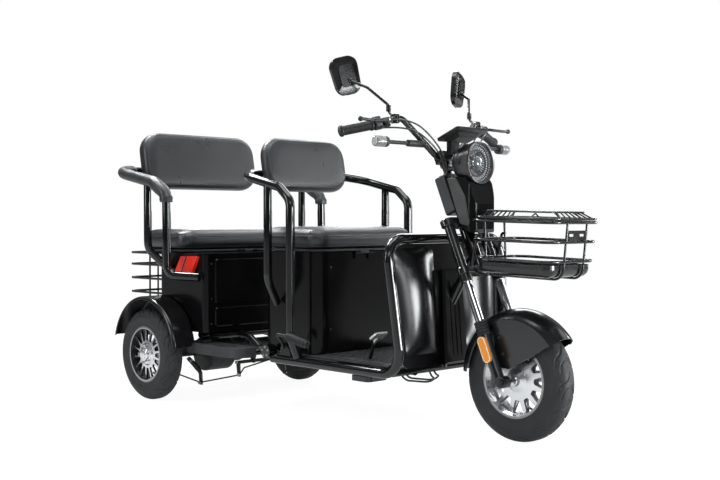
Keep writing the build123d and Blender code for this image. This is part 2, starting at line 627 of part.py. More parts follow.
# ---- rear rack and fenders ----------------------------------------------
RACK_LEVELS = (353.0, 425.0, 485.0, 544.0, 594.0)
RACK_HALF = 300.0
RACK_BACK = 1066.0
RACK_POST_Y = 902.0


def make_rear_rack():
    """Five U-shaped rods behind the box, tied by upright rods."""
    rods = []
    for z in RACK_LEVELS:
        corners = [(-RACK_HALF, REAR_BOX_BACK, z), (-RACK_HALF, RACK_BACK, z)]
        rods.append(tube(mirrored(corners), RIM_WIRE_R, 40))
    low, high = RACK_LEVELS[0], RACK_LEVELS[-1]
    for x, y in ((-RACK_HALF, RACK_POST_Y), (RACK_HALF, RACK_POST_Y), (-150, RACK_BACK), (150, RACK_BACK)):
        rods.append(Pos(x, y, (low + high) / 2) * Cylinder(RIM_WIRE_R - 1, high - low + RIM_WIRE_R))
    save("rear_rack", rods[0] + rods[1:])


FENDER_T = 3.0
REAR_FENDER_R = 225.0
REAR_FENDER_LIFT = 13.0
REAR_FENDER_OUT = REAR_TRACK / 2 + 44.0
REAR_FENDER_IN = REAR_BOX_HALF + 3.0
REAR_FENDER_LIP = 14.0


def sector(x0, x1, a0, a1, reach):
    """Wedge across X between two angles, 0 pointing forward and 90 up."""
    steps = 5
    points = [(0, 0)]
    for i in range(steps + 1):
        angle = radians(a0 + (a1 - a0) * i / steps)
        points.append((-reach * cos(angle), reach * sin(angle)))
    return side_plate(points, x0, x1)


def channel(x0, x1, r, lip0, lip1, corner):
    """Sheet channel revolved about X: a crown at radius r with a turned-in lip each side."""
    outer = [(x0, r - lip0), (x0, r), (x1, r), (x1, r - lip1)]
    inner = [(x1 - FENDER_T, r - lip1), (x1 - FENDER_T, r - FENDER_T), (x0 + FENDER_T, r - FENDER_T), (x0 + FENDER_T, r - lip0)]
    over = FilletPolyline(*outer, radius=corner)
    under = FilletPolyline(*inner, radius=corner - FENDER_T)
    ends = [Line(over @ 1, under @ 0), Line(under @ 1, over @ 0)]
    return revolve(make_face([over, ends[0], under, ends[1]]), Axis.X)


def make_rear_fenders():
    """Crowned fender over each rear wheel; its inner wall comes down in front of the wheel."""
    crown = channel(-REAR_FENDER_OUT, -REAR_FENDER_IN, REAR_FENDER_R, REAR_FENDER_LIP, 60, 12)
    crown &= sector(-REAR_FENDER_OUT - 1, -REAR_FENDER_IN + 1, 8, 166, 2 * REAR_FENDER_R)
    over_board = block(-BOARD_OUTER_REAR[0] - 3, -REAR_BOX_HALF, 480, BOARD_OUTER_REAR[1] + 12, 180, BOARD_Z + BOARD_T + 5)
    save("rear_fenders", both(Pos(0, REAR_AXLE_Y, REAR_AXLE_Z + REAR_FENDER_LIFT) * crown - over_board))


def make_side_lamps():
    outline = [(501, 590), (612, 588), (652, 527), (616, 508), (538, 522)]
    lamp = side_plate(outline, -REAR_BOX_HALF - 16, -REAR_BOX_HALF, 5)
    lamp = fillet(lamp.faces().sort_by(Axis.X)[0].edges(), 3)
    save("side_lamps", both(lamp))


# ---- footboards and foot controls ----------------------------------------
BOARD_OUTER_REAR = (350.0, 572.0)
BOARD_OUTER_FRONT = (330.0, 262.0)
BOARD_INNER_FRONT_Y = 250.0
BOARD_Z = 202.0
BOARD_T = 40.0


def make_footboards():
    """Moulded boards beside the rear box, ribbed on top, with a round front corner."""
    rear_y, step_y, step_x = BOARD_OUTER_REAR[1], SPRING_FRONT - 20, SPRING_X + SPRING_W / 2 + 6
    outline = [(-BOARD_INNER_X, step_y), (-step_x, step_y), (-step_x - 6, rear_y), (-BOARD_OUTER_REAR[0], rear_y)]
    outline += [(-BOARD_OUTER_FRONT[0], BOARD_OUTER_FRONT[1]), (-BOARD_INNER_X, BOARD_INNER_FRONT_Y)]
    face = make_face(FilletPolyline(*outline, radius=(6, 8, 8, 10, 62, 10), close=True))
    board = Pos(0, 0, BOARD_Z) * extrude(face, BOARD_T)
    board = fillet(board.faces().sort_by(Axis.Z)[-1].edges(), 5)
    grooves = [Pos(x, 425, BOARD_Z + BOARD_T) * Box(6, 230, 4) for x in (-325, -307, -289, -271, -253)]
    save("passenger_footboards", both(board - grooves))


GRIP_X = -345.0


def make_pedals():
    """Brake pedal through the floor, and the parking brake lever beside the box."""
    arm = tube([(-PEDAL_X, -200 - CROSS_R - 1, 214), (-PEDAL_X, -304, 216), (-PEDAL_X, -330, 300), (-PEDAL_X, -348, 318)], 6, 14)
    plate = fillet(Box(62, 46, 7).edges().filter_by(Axis.Z), 10)
    ribs = [Pos(0, y, 4) * Box(50, 4, 3) for y in (-14, -5, 5, 14)]
    save("brake_pedal", arm + Pos(-PEDAL_X, -354, 326) * Rot(-35, 0, 0) * (plate + ribs))
    top = GUARD_LOW[2] + GUARD_R + 0.5
    quadrant = side_plate([(58, top), (-4, top), (4, 254), (28, 272), (54, 264)], -286, -280, 6)
    lever = tube([(-283, 38, 258), (-306, 24, 288), (GRIP_X, 4, 316), (GRIP_X, -50, 315), (GRIP_X, -150, 295)], 6, 12)
    grip = tube([(GRIP_X, -52, 314.6), (GRIP_X, -166, 291.8)], 13)
    save("parking_brake", quadrant + [lever, fillet(grip.edges(), 4)])


FLOOR_CABLE_R = 3.5
NEAR_CABLE = ((-178, -464, 236), (-176, -484, 192), (-150, -526, 190), (-96, -534, 181), (-46, -526, 190), (-30, -484, 192), (-28, -464, 236))
FAR_CABLE = ((-192, -458, 236), (-188, -478, 184), (-150, -512, 180), (-96, -520, 172), (-56, -512, 180), (-44, -478, 186), (-42, -458, 236))


def make_floor_cables():
    """Brake and power cables that loop down behind the foot of the leg shield."""
    above = block(-260, 0, -600, -400, FLOOR_Z - FIT_GAP, FLOOR_Z + 40)
    save("floor_cables", [tube(route, FLOOR_CABLE_R, 14) - above for route in (NEAR_CABLE, FAR_CABLE)])


# ---- fork ----------------------------------------------------------------
STANCHION_LOW = 150.0
SLEEVE_LOW_Z = 527.0
BOOT_LOW_Z = 352.0
BOOT_HIGH_Z = 397.0
BOOT_FOLDS = 5
STEM_TOP_Z = 936.0
REFLECTOR_Z = 308.0


def on_leg(z0, z1, radius):
    """A round piece on the right-hand fork leg between two distances up the axis."""
    return STEER * Pos(-FORK_HALF, 0, (z0 + z1) / 2) * Cylinder(radius, z1 - z0)


def folds(z0, z1, radius, count):
    """Stacked rounded rings on the right-hand fork leg."""
    pitch = (z1 - z0) / count
    rings = []
    for i in range(count):
        ring = on_leg(z0 + i * pitch, z0 + (i + 1) * pitch, radius)
        rings.append(chamfer(ring.edges(), pitch * 0.3))
    return rings[0] + rings[1:]


def make_fork():
    """Telescopic fork: clamps with stem and sleeves, chrome stanchions, boots and legs."""
    top, low = up_axis(UPPER_CLAMP_Z), up_axis(LOWER_CLAMP_Z)
    sleeve_low = up_axis(SLEEVE_LOW_Z)
    boot_low, boot_high = up_axis(BOOT_LOW_Z), up_axis(BOOT_HIGH_Z)
    bore = on_leg(0, sleeve_low + 40, STANCHION_R + RUNNING_GAP)
    save("fork_stanchions", both(on_leg(STANCHION_LOW, sleeve_low + 39, STANCHION_R)))
    leg = on_leg(-8, boot_low, FORK_LEG_R)
    lug = x_rod(-FORK_HALF - FORK_LEG_R - 1, -FORK_HALF + 14, FRONT_AXLE_Y, FRONT_AXLE_Z, 20)
    axle_bore = x_rod(-200, 200, FRONT_AXLE_Y, FRONT_AXLE_Z, AXLE_R + RUNNING_GAP)
    stanchion_seat = on_leg(STANCHION_LOW - 1, boot_low + 1, STANCHION_R + RUNNING_GAP)
    save("fork_legs", both(leg + lug - axle_bore - stanchion_seat))
    save("fork_boots", both(folds(boot_low, boot_high, FORK_LEG_R + 3, BOOT_FOLDS) - bore))
    nut_x = FORK_HALF + FORK_LEG_R + 1.5
    axle = x_rod(-nut_x - 16, nut_x + 16, FRONT_AXLE_Y, FRONT_AXLE_Z, AXLE_R)
    for side in (-1, 1):
        nut = x_rod(nut_x, nut_x + 10, 0, 0, 11)
        washer = x_rod(nut_x, nut_x + 2, 0, 0, 15)
        shape = Pos(0, FRONT_AXLE_Y, FRONT_AXLE_Z) * (chamfer(nut.edges(), 2) + washer)
        axle += shape if side > 0 else mirror_x(shape)
    save("front_axle", axle)
    span = 2 * FORK_HALF + CLAMP_DEPTH
    plates = []
    for level in (low, top):
        plate = Box(span, CLAMP_DEPTH, CLAMP_T)
        plate = fillet(plate.edges().filter_by(Axis.Z), CLAMP_DEPTH / 2 - 0.1)
        plates.append(STEER * Pos(0, 0, level) * chamfer(plate.faces().filter_by(Axis.Z).edges(), 3))
    stem_len = up_axis(STEM_TOP_Z) - low
    stem = STEER * Pos(0, 0, low + stem_len / 2) * Cylinder(STEM_R, stem_len)
    sleeve = on_leg(sleeve_low, top, UPPER_TUBE_R) + folds(sleeve_low, low - CLAMP_T / 2, UPPER_TUBE_R + 3, 4)
    clamps = plates[0] + [plates[1], stem, sleeve, mirror_x(sleeve)]
    save("fork_clamps", clamps - [bore, mirror_x(bore)])
    plate = fillet(Box(10, 30, 88).edges().filter_by(Axis.X), 14)
    plate = chamfer(plate.faces().sort_by(Axis.X)[0].edges(), 2)
    reflector = STEER * Pos(-FORK_HALF - FORK_LEG_R - 3, 0, up_axis(REFLECTOR_Z)) * plate
    save("fork_reflectors", both(reflector - on_leg(0, 300, FORK_LEG_R + RUNNING_GAP)))


# ---- front fender --------------------------------------------------------
FRONT_FENDER_R = 234.0
FRONT_FENDER_HALF = 62.0
FRONT_FENDER_EAVE = 198.0
FRONT_FENDER_LIP = 8.0
FRONT_FENDER_CENTRE = (-10.0, 4.0)
FLANK = ((-156, 128), (-110, 99), (-55, 69), (8, 36), (44, 38), (66, 94), (73, 190), (73, 260), (-156, 260))


def fender_section(half, crown, eave, low):
    """Lines of an arched cross-section: upright flank, crowned roof, upright flank."""
    roof = ThreePointArc((-half, eave), (0, crown), (half, eave))
    return [Line((-half, low), (-half, eave)), roof, Line((half, eave), (half, low))]


def make_front_fender():
    """Crowned sheet fender whose flanks drop to a lobe beside the wheel."""
    half, thin, low = FRONT_FENDER_HALF, FENDER_T, 30
    outer = fender_section(half, FRONT_FENDER_R, FRONT_FENDER_EAVE, low)
    inner = fender_section(half - thin, FRONT_FENDER_R - thin, FRONT_FENDER_EAVE - 1, low)
    ends = [Line((-half, low), (-half + thin, low)), Line((half - thin, low), (half, low))]
    shell = revolve(make_face(outer + inner + ends), Axis.X)
    band = sector(-half - 1, half + 1, 39, 177, 2 * FRONT_FENDER_R)
    band -= x_rod(-half - 2, half + 2, 0, 0, FRONT_FENDER_EAVE - FRONT_FENDER_LIP)
    zone = band + side_plate(FLANK, -half - 1, half + 1, 12)
    dy, dz = FRONT_FENDER_CENTRE
    save("front_fender", Pos(0, FRONT_AXLE_Y + dy, FRONT_AXLE_Z + dz) * (shell & zone))


# ---- handlebar and its fittings ------------------------------------------
BAR_END = (-400.0, -398.0, 1032.0)
BAR_BEND = (-270.0, -445.0, 1062.0)
BAR_SHOULDER = (-195.0, -478.0, 1087.0)
BAR_FOOT = (-54.0, -515.0, 956.0)
BAR_BENDS = (60, 34, 30)
GRIP_LEN = 122.0
GRIP_R = 17.0


def bar_plane():
    """Right-hand bar end: local +Z runs inward along the bar, +X to the rear, +Y up."""
    dx, dy, dz = (BAR_BEND[i] - BAR_END[i] for i in range(3))
    return Plane(origin=BAR_END, x_dir=(-dy, dx, 0), z_dir=(dx, dy, dz))


def bar(radius):
    half = [BAR_END, BAR_BEND, BAR_SHOULDER, BAR_FOOT]
    return bent_bar(mirrored(half), BAR_BENDS + BAR_BENDS[::-1], radius)


def make_handlebar():
    """Bent bar held by a clamp on top of the steering stem."""
    clamp = chamfer(Box(84, 46, 42).edges(), 5)
    clamp = Pos(0, -510, 954) * Rot(-RAKE, 0, 0) * clamp
    riser = STEER * Pos(0, 0, up_axis(STEM_TOP_Z)) * Cylinder(19, 28)
    stem = STEER * Pos(0, 0, up_axis(STEM_TOP_Z) - 100) * Cylinder(STEM_R + RUNNING_GAP, 200 + RUNNING_GAP)
    save("handlebar", bar(BAR_R) + [clamp, riser] - stem)
    end = bar_plane()
    inside = bar(BAR_R + RUNNING_GAP)
    grip = Pos(0, 0, GRIP_LEN / 2) * Cylinder(GRIP_R, GRIP_LEN)
    grip = fillet(grip.edges(), 4)
    for z in (5, GRIP_LEN - 5):
        grip += Pos(0, 0, z) * fillet(Cylinder(GRIP_R + 3, 8).edges(), 2)
    save("grips", both(end * Pos(0, 0, -4) * grip - inside))
    blade = tube([(-26, 4, 166), (-50, 4, 150), (-66, 16, 92), (-73, 28, 48)], 5.5, 16)
    ball = Pos(-73, 28, 46) * Sphere(9)
    pivot = Pos(-20, 2, 168) * fillet(Box(34, 20, 26).edges(), 5)
    ring = Pos(0, 0, 168) * Cylinder(17, 26)
    lever = end * (blade + [ball, pivot, ring]) - inside
    pod = Pos(0, 0, 137) * fillet(Cylinder(21, 28).edges(), 5)
    pod += Pos(2, 10, 137) * fillet(Box(30, 32, 24).edges(), 6)
    pod = end * pod - inside
    save("brake_levers", both(lever))
    save("switch_pods", both(pod))


MIRROR_CENTRE = (-297.0, -313.0, 1234.0)
MIRROR_TURN = -20.0
MIRROR_LEAN = -15.0
MIRROR_SIZE = (108.0, 134.0)
MIRROR_TAPER = 10.0
MIRROR_DEPTH = 26.0
MIRROR_STEM = ((-214, -468, 1082), (-213, -440, 1104), (-214, -434, 1132), (-268, -388, 1190), (-290, -338, 1212))


def mirror_plate(inset, thick):
    """A plate across Y in the head's outline, narrower at the foot."""
    width, height = MIRROR_SIZE
    top, foot, half = width / 2 - inset, width / 2 - MIRROR_TAPER - inset, height / 2 - inset
    outline = FilletPolyline((-top, half), (top, half), (foot, -half), (-foot, -half), radius=36 - inset, close=True)
    return extrude(Plane.XZ * make_face(outline), thick / 2, both=True)


def make_mirrors():
    """Mirror heads with a crowned back on bent rods clamped to the bar."""
    width, height = MIRROR_SIZE
    place = Pos(*MIRROR_CENTRE) * Rot(0, 0, MIRROR_TURN) * Rot(0, MIRROR_LEAN, 0)
    head = mirror_plate(0, MIRROR_DEPTH)
    crown = MIRROR_DEPTH / 2 - 13
    head &= Pos(0, 150 - MIRROR_DEPTH / 2, 0) * Cylinder(150, height + 2)
    head &= Pos(0, 190 - MIRROR_DEPTH / 2, 0) * Rot(0, 90, 0) * Cylinder(190, width + 2)
    badge = Pos(0, crown, 0) * fillet(Box(width - 52, MIRROR_DEPTH + 3, height - 56).edges().filter_by(Axis.Y), 16)
    head += badge & block(-60, 60, -MIRROR_DEPTH / 2 - 2, 0, -80, 80)
    ball = Pos(6, -MIRROR_DEPTH / 2 - 2, -20) * Sphere(9)
    pane = Pos(0, MIRROR_DEPTH / 2 - 1, 0) * mirror_plate(6, 4)
    pocket = Pos(0, MIRROR_DEPTH / 2 - 1, 0) * mirror_plate(6 - FIT_GAP, 5)
    stem = tube(MIRROR_STEM, 5, 12)
    clamp = Pos(-214, -469, 1081) * fillet(Box(22, 34, 34).edges(), 8)
    collar = Pos(-213.5, -437, 1118) * Cylinder(8.5, 22)
    stem += [clamp, collar]
    save("mirrors", both(place * (head + ball - pocket) + stem - bar(BAR_R + RUNNING_GAP)))
    save("mirror_glass", both(place * pane))


SIGNAL_Y = -506.0
SIGNAL_Z = 997.0


def make_signals():
    """Turn signals on short stalks from the bar, with rubber sleeves."""
    stalk = x_rod(-296, -88, SIGNAL_Y, SIGNAL_Z, 7)
    stalk += fillet(x_rod(-192, -108, SIGNAL_Y, SIGNAL_Z, 12).edges(), 3)
    stalk += fillet(x_rod(-306, -292, SIGNAL_Y, SIGNAL_Z, 18).edges(), 3)
    save("signal_stalks", both(stalk - bar(BAR_R + RUNNING_GAP)))
    lens = Pos(-329, SIGNAL_Y, SIGNAL_Z) * Rot(0, 90, 0) * Cylinder(18.5, 44)
    save("signal_lenses", both(fillet(lens.faces().sort_by(Axis.X)[0].edges(), 9)))


# ---- headlamp and display ------------------------------------------------
LAMP_DEPTH = 112.0
LAMP_WALL = 4.0
STUB_Z = 915.0
GLASS_DOME_R = 280.0
GLASS_RISE = 5.0
GLASS_T = 3.0
FIN_COUNT = 28


def turned(curves, y, z):
    """A piece turned about a fore-and-aft axis from its (radius, y) outline."""
    return Pos(0, y, z) * revolve(make_face(curves), Axis.Y)


def bowl(radius, depth, front, neck_r):
    """Outline of the lamp bowl: straight rim, long curve, small flat back."""
    rim = Polyline((0, front), (radius, front), (radius, 24), (radius - 4, 28))
    curve = ThreePointArc((radius - 4, 28), (radius * 0.74, depth * 0.72), (neck_r, depth))
    back = Polyline((neck_r, depth), (0, depth), (0, front))
    return [rim, curve, back]


def make_headlamp():
    """Round lamp: bowl with bezel, finned reflector with projector, domed glass."""
    along_y = Rot(90, 0, 0)
    shell = turned(bowl(LAMP_R, LAMP_DEPTH, 6, 20), LAMP_Y, LAMP_Z)
    shell -= turned(bowl(LAMP_R - LAMP_WALL, LAMP_DEPTH - LAMP_WALL, 0, 17), LAMP_Y, LAMP_Z)
    bezel = [(LAMP_R - 7, 0), (LAMP_R - 2, -2), (LAMP_R + 1, 3), (LAMP_R + 1, 12), (LAMP_R - 7, 12)]
    shell += turned(Polyline(*bezel, close=True), LAMP_Y, LAMP_Z)
    stub = Pos(0, LAMP_Y + 127.5, STUB_Z) * along_y * Cylinder(9, 35)
    stem = STEER * Pos(0, 0, up_axis(STEM_TOP_Z) - 100) * Cylinder(STEM_R + FIT_GAP, 400)
    save("headlamp_shell", shell + stub - stem)
    glass = along_y * Cylinder(LAMP_R - 8, 24) & Pos(0, GLASS_DOME_R - GLASS_RISE, 0) * along_y * Sphere(GLASS_DOME_R)
    glass -= Pos(0, GLASS_DOME_R - GLASS_RISE, 0) * along_y * Sphere(GLASS_DOME_R - GLASS_T)
    save("headlamp_lens", Pos(0, LAMP_Y, LAMP_Z) * glass)
    dish = [(0, 44), (25, 44), (32, 36), (56, 26), (64, 13), (66, 13), (66, 16), (58, 29), (33, 40), (25, 48), (0, 48)]
    reflector = turned(Polyline(*dish, close=True), 0, 0)
    reflector += turned(Polyline((0, 10), (13, 12), (22, 20), (25, 30), (25, 45), (0, 45), close=True), 0, 0)
    reflector += turned(Polyline((43, 16), (47, 16), (49, 32), (43, 36), close=True), 0, 0)
    fin = block(27, 44, 20, 40, -0.8, 0.8)
    reflector += [Rot(0, 360.0 * i / FIN_COUNT, 0) * fin for i in range(FIN_COUNT)]
    save("headlamp_reflector", Pos(0, LAMP_Y, LAMP_Z) * reflector)


DISPLAY = (165.0, 104.0, 10.0)
DISPLAY_CENTRE = (0.0, -587.0, 1031.0)
DISPLAY_TILT = 22.0


def make_display():
    """Instrument housing tilted to the rider, on a leg from the bar clamp."""
    width, depth, thick = DISPLAY
    place = Pos(*DISPLAY_CENTRE) * Rot(-DISPLAY_TILT, 0, 0)
    body = fillet(Box(width, depth, thick).edges().filter_by(Axis.Z), 12)
    body = fillet(body.faces().sort_by(Axis.Z)[-1].edges(), 3)
    belly = Pos(0, 4, -thick / 2 - 6) * Box(width - 56, depth - 38, 14)
    belly = chamfer(belly.faces().sort_by(Axis.Z)[0].edges(), 12)
    leg = block(-22, 22, -556, -534, 966, 1010)
    save("display", place * (body + belly) + leg)


# ---- column cover --------------------------------------------------------
COVER_HALF = 62.0
COVER_BACK = -26.0
COVER_FRONT = ((-655, 880), (-668, 863), (-690, 790), (-690, 704), (-677, 692), (-655, 700))
COVER_TOP_Z = 888.0
COVER_LOW_Z = 716.0
PANEL_OUTLINE = ((-572, 882), (-614, 878), (-654, 816), (-674, 730), (-670, 714), (-632, 722))
KEY_BOX = (90.0, 58.0, 144.0)
KEY_BOX_Z = 826.0


def make_column_cover():
    """Head fairing in front of the stem, its two side strips and the lock box behind."""
    rake = radians(RAKE)
    behind = COVER_BACK / cos(rake) - 1
    outline = [(axis_y(COVER_LOW_Z) + behind, COVER_LOW_Z), (axis_y(COVER_TOP_Z) + behind, COVER_TOP_Z), *COVER_FRONT]
    cover = side_plate(outline, -COVER_HALF, COVER_HALF)
    plan = Pos(0, -616, 790) * Box(2 * COVER_HALF, 150, 240)
    cover &= fillet(plan.edges().filter_by(Axis.Z), 24)
    lamp_room = turned(bowl(LAMP_R + 3, LAMP_DEPTH + 3, -24, 23), LAMP_Y, LAMP_Z)
    stub_room = Pos(0, LAMP_Y + 125, STUB_Z) * Rot(90, 0, 0) * Cylinder(11, 60)
    save("column_cover", cover - lamp_room - stub_room)
    strip = side_plate(PANEL_OUTLINE, -COVER_HALF - 5, -COVER_HALF - FIT_GAP, 8)
    strip = chamfer(strip.faces().sort_by(Axis.X)[0].edges(), 3)
    save("cover_panels", both(strip - lamp_room))
    width, depth, height = KEY_BOX
    lock = STEER * Pos(0, COVER_BACK + 2 + depth / 2, up_axis(KEY_BOX_Z)) * fillet(Box(width, depth, height).edges(), 9)
    save("key_box", lock - STEER * Pos(0, 0, up_axis(KEY_BOX_Z)) * Cylinder(STEM_R + FIT_GAP, 400))


# ---- basket --------------------------------------------------------------
BASKET_LEN = 336.0
BASKET_FLARE = 14.0
BASKET_CORNER = 52.0
HOOP_DROPS = (0.0, 62.0, 124.0)
TRAY_TOP = 136.0
TRAY_LOW = 176.0
WIRE_X = 53.0
LID_RISE = 9.0
LID_DOME = 32.0
LID_INSET = 36.0
LID_ROD_X = (0.0, 22.0, 44.0, 66.0)
LID_ROD_R = 2.5


def basket_place():
    """Top of the basket's rear edge; the basket tips forward about it."""
    rise = BASKET_LEN / 2 * sin(radians(BASKET_TILT))
    return Pos(0, BASKET_BACK, BASKET_TOP + rise) * Rot(BASKET_TILT, 0, 0)


def loop(half, front, back, z, radius, corner):
    """A closed rod loop lying flat."""
    outline = RectangleRounded(2 * half, back - front, corner)
    wire = (Pos(0, (front + back) / 2, z) * outline).face().outer_wire()
    return sweep(Plane(origin=wire @ 0, z_dir=wire % 0) * Circle(radius), path=wire)


def flare(z):
    """How far the basket's sides have drawn in at depth z."""
    return BASKET_FLARE * -z / TRAY_LOW


def make_basket():
    """Welded wire basket on brackets from the lower clamp, with a moulded tray."""
    place = basket_place()
    rods = []
    for drop in HOOP_DROPS:
        draw = flare(-drop)
        rods.append(loop(BASKET_HALF - draw, -BASKET_LEN + draw, -draw, -drop, RIM_WIRE_R, BASKET_CORNER))
    low = -TRAY_LOW - WIRE_R - 1
    draw = flare(low)
    for x in (-WIRE_X, WIRE_X):
        front, back = (x, -BASKET_LEN, 0), (x, 0, 0)
        rods.append(tube([front, (x, -BASKET_LEN + draw, low), (x, -draw, low), back], WIRE_R, 36))
    plate = Box(2 * WIRE_X, 4, 30) - [Pos(x, 0, 0) * Box(26, 8, 8) for x in (-28, 28)]
    rods.append(Pos(0, -BASKET_LEN + flare(-38), -40) * plate)
    lugs = [x_rod(x - 6, x + 6, 0, LID_HINGE_UP, LID_HINGE_R) + block(x - 6, x + 6, -3, 3, 0, LID_HINGE_UP) for x in (-90, 90)]
    wires = rods[0] + rods[1:] + lugs
    clamp_y, clamp_z = axis_y(LOWER_CLAMP_Z), LOWER_CLAMP_Z
    arm = tube([(-WIRE_X, BASKET_BACK - 20, BASKET_BASE - 6), (-WIRE_X, clamp_y - 24, clamp_z + 4)], 6)
    brace = tube([(-WIRE_X, BASKET_BACK - 4, 690), (-WIRE_X - 12, BASKET_BACK + 20, 690), (-WIRE_X - 12, clamp_y - 16, clamp_z + 8)], 5, 14)
    solid = STEER * Pos(0, 0, up_axis(LOWER_CLAMP_Z)) * Box(2 * FORK_HALF, CLAMP_DEPTH + 2 * RUNNING_GAP, CLAMP_T + 2 * RUNNING_GAP)
    arms = [arm, mirror_x(arm), brace, mirror_x(brace)]
    save("basket", place * wires + arms - solid)
    top, base = -TRAY_TOP, -TRAY_LOW
    outer = tray_shell(flare(top) + RIM_WIRE_R + 4, top, base, 28)
    inner = tray_shell(flare(top) + RIM_WIRE_R + 7, top + 1, base + 3, 25)
    save("basket_tray", place * (outer - inner))
    make_basket_lid(place)


def tray_shell(inset, top, base, round_r):
    body = block(-BASKET_HALF + inset, BASKET_HALF - inset, -BASKET_LEN + inset, -inset, base, top)
    body = fillet(body.edges().filter_by(Axis.Z), BASKET_CORNER - inset)
    return fillet(body.faces().sort_by(Axis.Z)[0].edges(), round_r)


LID_HINGE_R = 3.5
LID_HINGE_UP = 9.0


def make_basket_lid(place):
    """Domed rod lid: outer loop, raised inner loop and lengthwise rods."""
    front, back = -BASKET_LEN, 0
    inner_front, inner_back = front + LID_INSET, back - LID_INSET
    lid = loop(BASKET_HALF, front, back - 9, LID_RISE + 2, WIRE_R, BASKET_CORNER)
    lid += loop(BASKET_HALF - LID_INSET, inner_front, inner_back, LID_DOME, WIRE_R - 1, 26)
    rods = []
    for x in (*LID_ROD_X, *(-x for x in LID_ROD_X[1:])):
        ends = [(x * 1.3, front, LID_RISE + 2), (x, inner_front, LID_DOME), (x, inner_back, LID_DOME), (x * 1.3, back - 9, LID_RISE + 2)]
        rods.append(tube(ends, LID_ROD_R, 16))
    for y in (-BASKET_LEN / 4, -BASKET_LEN / 2, -3 * BASKET_LEN / 4):
        side = BASKET_HALF
        ends = [(-side, y, LID_RISE + 2), (-side + LID_INSET, y, LID_DOME), (side - LID_INSET, y, LID_DOME), (side, y, LID_RISE + 2)]
        rods.append(tube(ends, LID_ROD_R, 16))
    knuckle = x_rod(-83, 83, 0, LID_HINGE_UP, LID_HINGE_R)
    knuckle += [block(x - 5, x + 5, -10, 0, LID_HINGE_UP - 1.5, LID_HINGE_UP + 1.5) for x in (-70, 70)]
    save("basket_lid", place * (lid + rods + knuckle))


# ---- cables at the bar ---------------------------------------------------
CABLE_R = 3.0


BRAKE_CABLE = ((-243, -491, 1075), (-180, -522, 1078), (-98, -552, 1006), (-46, -557.5, 935), (-44, -557.5, 889))
SWITCH_CABLE = ((-277, -470, 1046), (-200, -528, 1054), (-116, -560, 992), (-58, -557.5, 930), (-53, -557.5, 889))


def make_control_cables():
    """Brake and switch cables, arching forward from the bar down behind the lamp."""
    first = tube(BRAKE_CABLE, CABLE_R, 44)
    second = tube(SWITCH_CABLE, CABLE_R, 44)
    save("control_cables", both(first), both(second))


os.makedirs("parts", exist_ok=True)
make_wheels()
make_rear_axle()
make_springs()
make_brake_linkage()
make_frame()
make_guard()
make_leg_shield()
make_floor()
make_floor_cables()
make_seat_box()
make_rear_box()
make_seats()
make_backrests()
make_driver_hoop()
make_rear_hoop()
make_rear_rack()
make_rear_fenders()
make_side_lamps()
make_footboards()
make_pedals()
make_fork()
make_front_fender()
make_handlebar()
make_mirrors()
make_signals()
make_headlamp()
make_display()
make_column_cover()
make_basket()
make_control_cables()
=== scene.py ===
import math

import bmesh
import bpy
import numpy as np
from mathutils import Matrix, Vector
from mathutils.bvhtree import BVHTree


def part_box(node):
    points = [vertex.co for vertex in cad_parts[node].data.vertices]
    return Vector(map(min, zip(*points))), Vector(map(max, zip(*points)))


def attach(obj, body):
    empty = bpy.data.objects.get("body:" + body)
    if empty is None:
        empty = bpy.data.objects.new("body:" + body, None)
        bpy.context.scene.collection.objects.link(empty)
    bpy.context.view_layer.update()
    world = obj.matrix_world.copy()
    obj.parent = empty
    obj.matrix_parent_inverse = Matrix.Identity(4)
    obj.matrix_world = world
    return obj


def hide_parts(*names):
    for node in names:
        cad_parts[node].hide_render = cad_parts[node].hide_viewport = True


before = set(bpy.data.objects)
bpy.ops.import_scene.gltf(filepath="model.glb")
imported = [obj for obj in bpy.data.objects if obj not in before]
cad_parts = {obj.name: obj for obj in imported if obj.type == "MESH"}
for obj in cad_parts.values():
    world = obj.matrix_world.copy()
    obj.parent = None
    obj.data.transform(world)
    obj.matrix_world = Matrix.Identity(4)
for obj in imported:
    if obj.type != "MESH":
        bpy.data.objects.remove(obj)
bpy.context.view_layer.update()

# ---- Studio --------------------------------------------------------------
# White sweep in a grey-walled hall, lit by one large softbox overhead and by
# narrow strips at the sides.  Five cards show only in gloss and draw the long
# highlights.  The camera stands at the right front corner.
scene = bpy.context.scene
scene.view_settings.view_transform = "Standard"

camera = bpy.data.objects.new("camera", bpy.data.cameras.new("camera"))
scene.collection.objects.link(camera)
camera.location = (-2.910, -3.081, 0.738)
camera.rotation_euler = (math.radians(88.91), 0.0, math.radians(-44.08))
camera.data.sensor_width = 36.0
camera.data.lens = 54.85
scene.camera = camera


def shader_node(tree, kind, inputs, **settings):
    """A node of a shader; each input takes a plain value or another node's output."""
    node = tree.nodes.new("ShaderNode" + kind)
    for setting, value in settings.items():
        setattr(node, setting, value)
    for socket, value in inputs.items():
        if isinstance(value, bpy.types.NodeSocket):
            tree.links.new(value, node.inputs[socket])
        else:
            node.inputs[socket].default_value = value
    return node


def worked_out(tree, operation, *values):
    """One step of arithmetic on shader values."""
    return shader_node(tree, "Math", dict(enumerate(values)), operation=operation).outputs[0]


def ramp(tree, level, stops):
    """Shades between stops of position and colour, picked by a level."""
    node = shader_node(tree, "ValToRGB", {"Fac": level})
    for element, (position, colour) in zip(node.color_ramp.elements, (stops[0], stops[-1])):
        element.position = position
        element.color = (*colour, 1.0)
    for position, colour in stops[1:-1]:
        node.color_ramp.elements.new(position).color = (*colour, 1.0)
    return node.outputs["Color"]


def mixed_shader(tree, share, first, second):
    """The second shader in place of the first, by a share."""
    return shader_node(tree, "MixShader", {"Fac": share, 1: first, 2: second}).outputs[0]


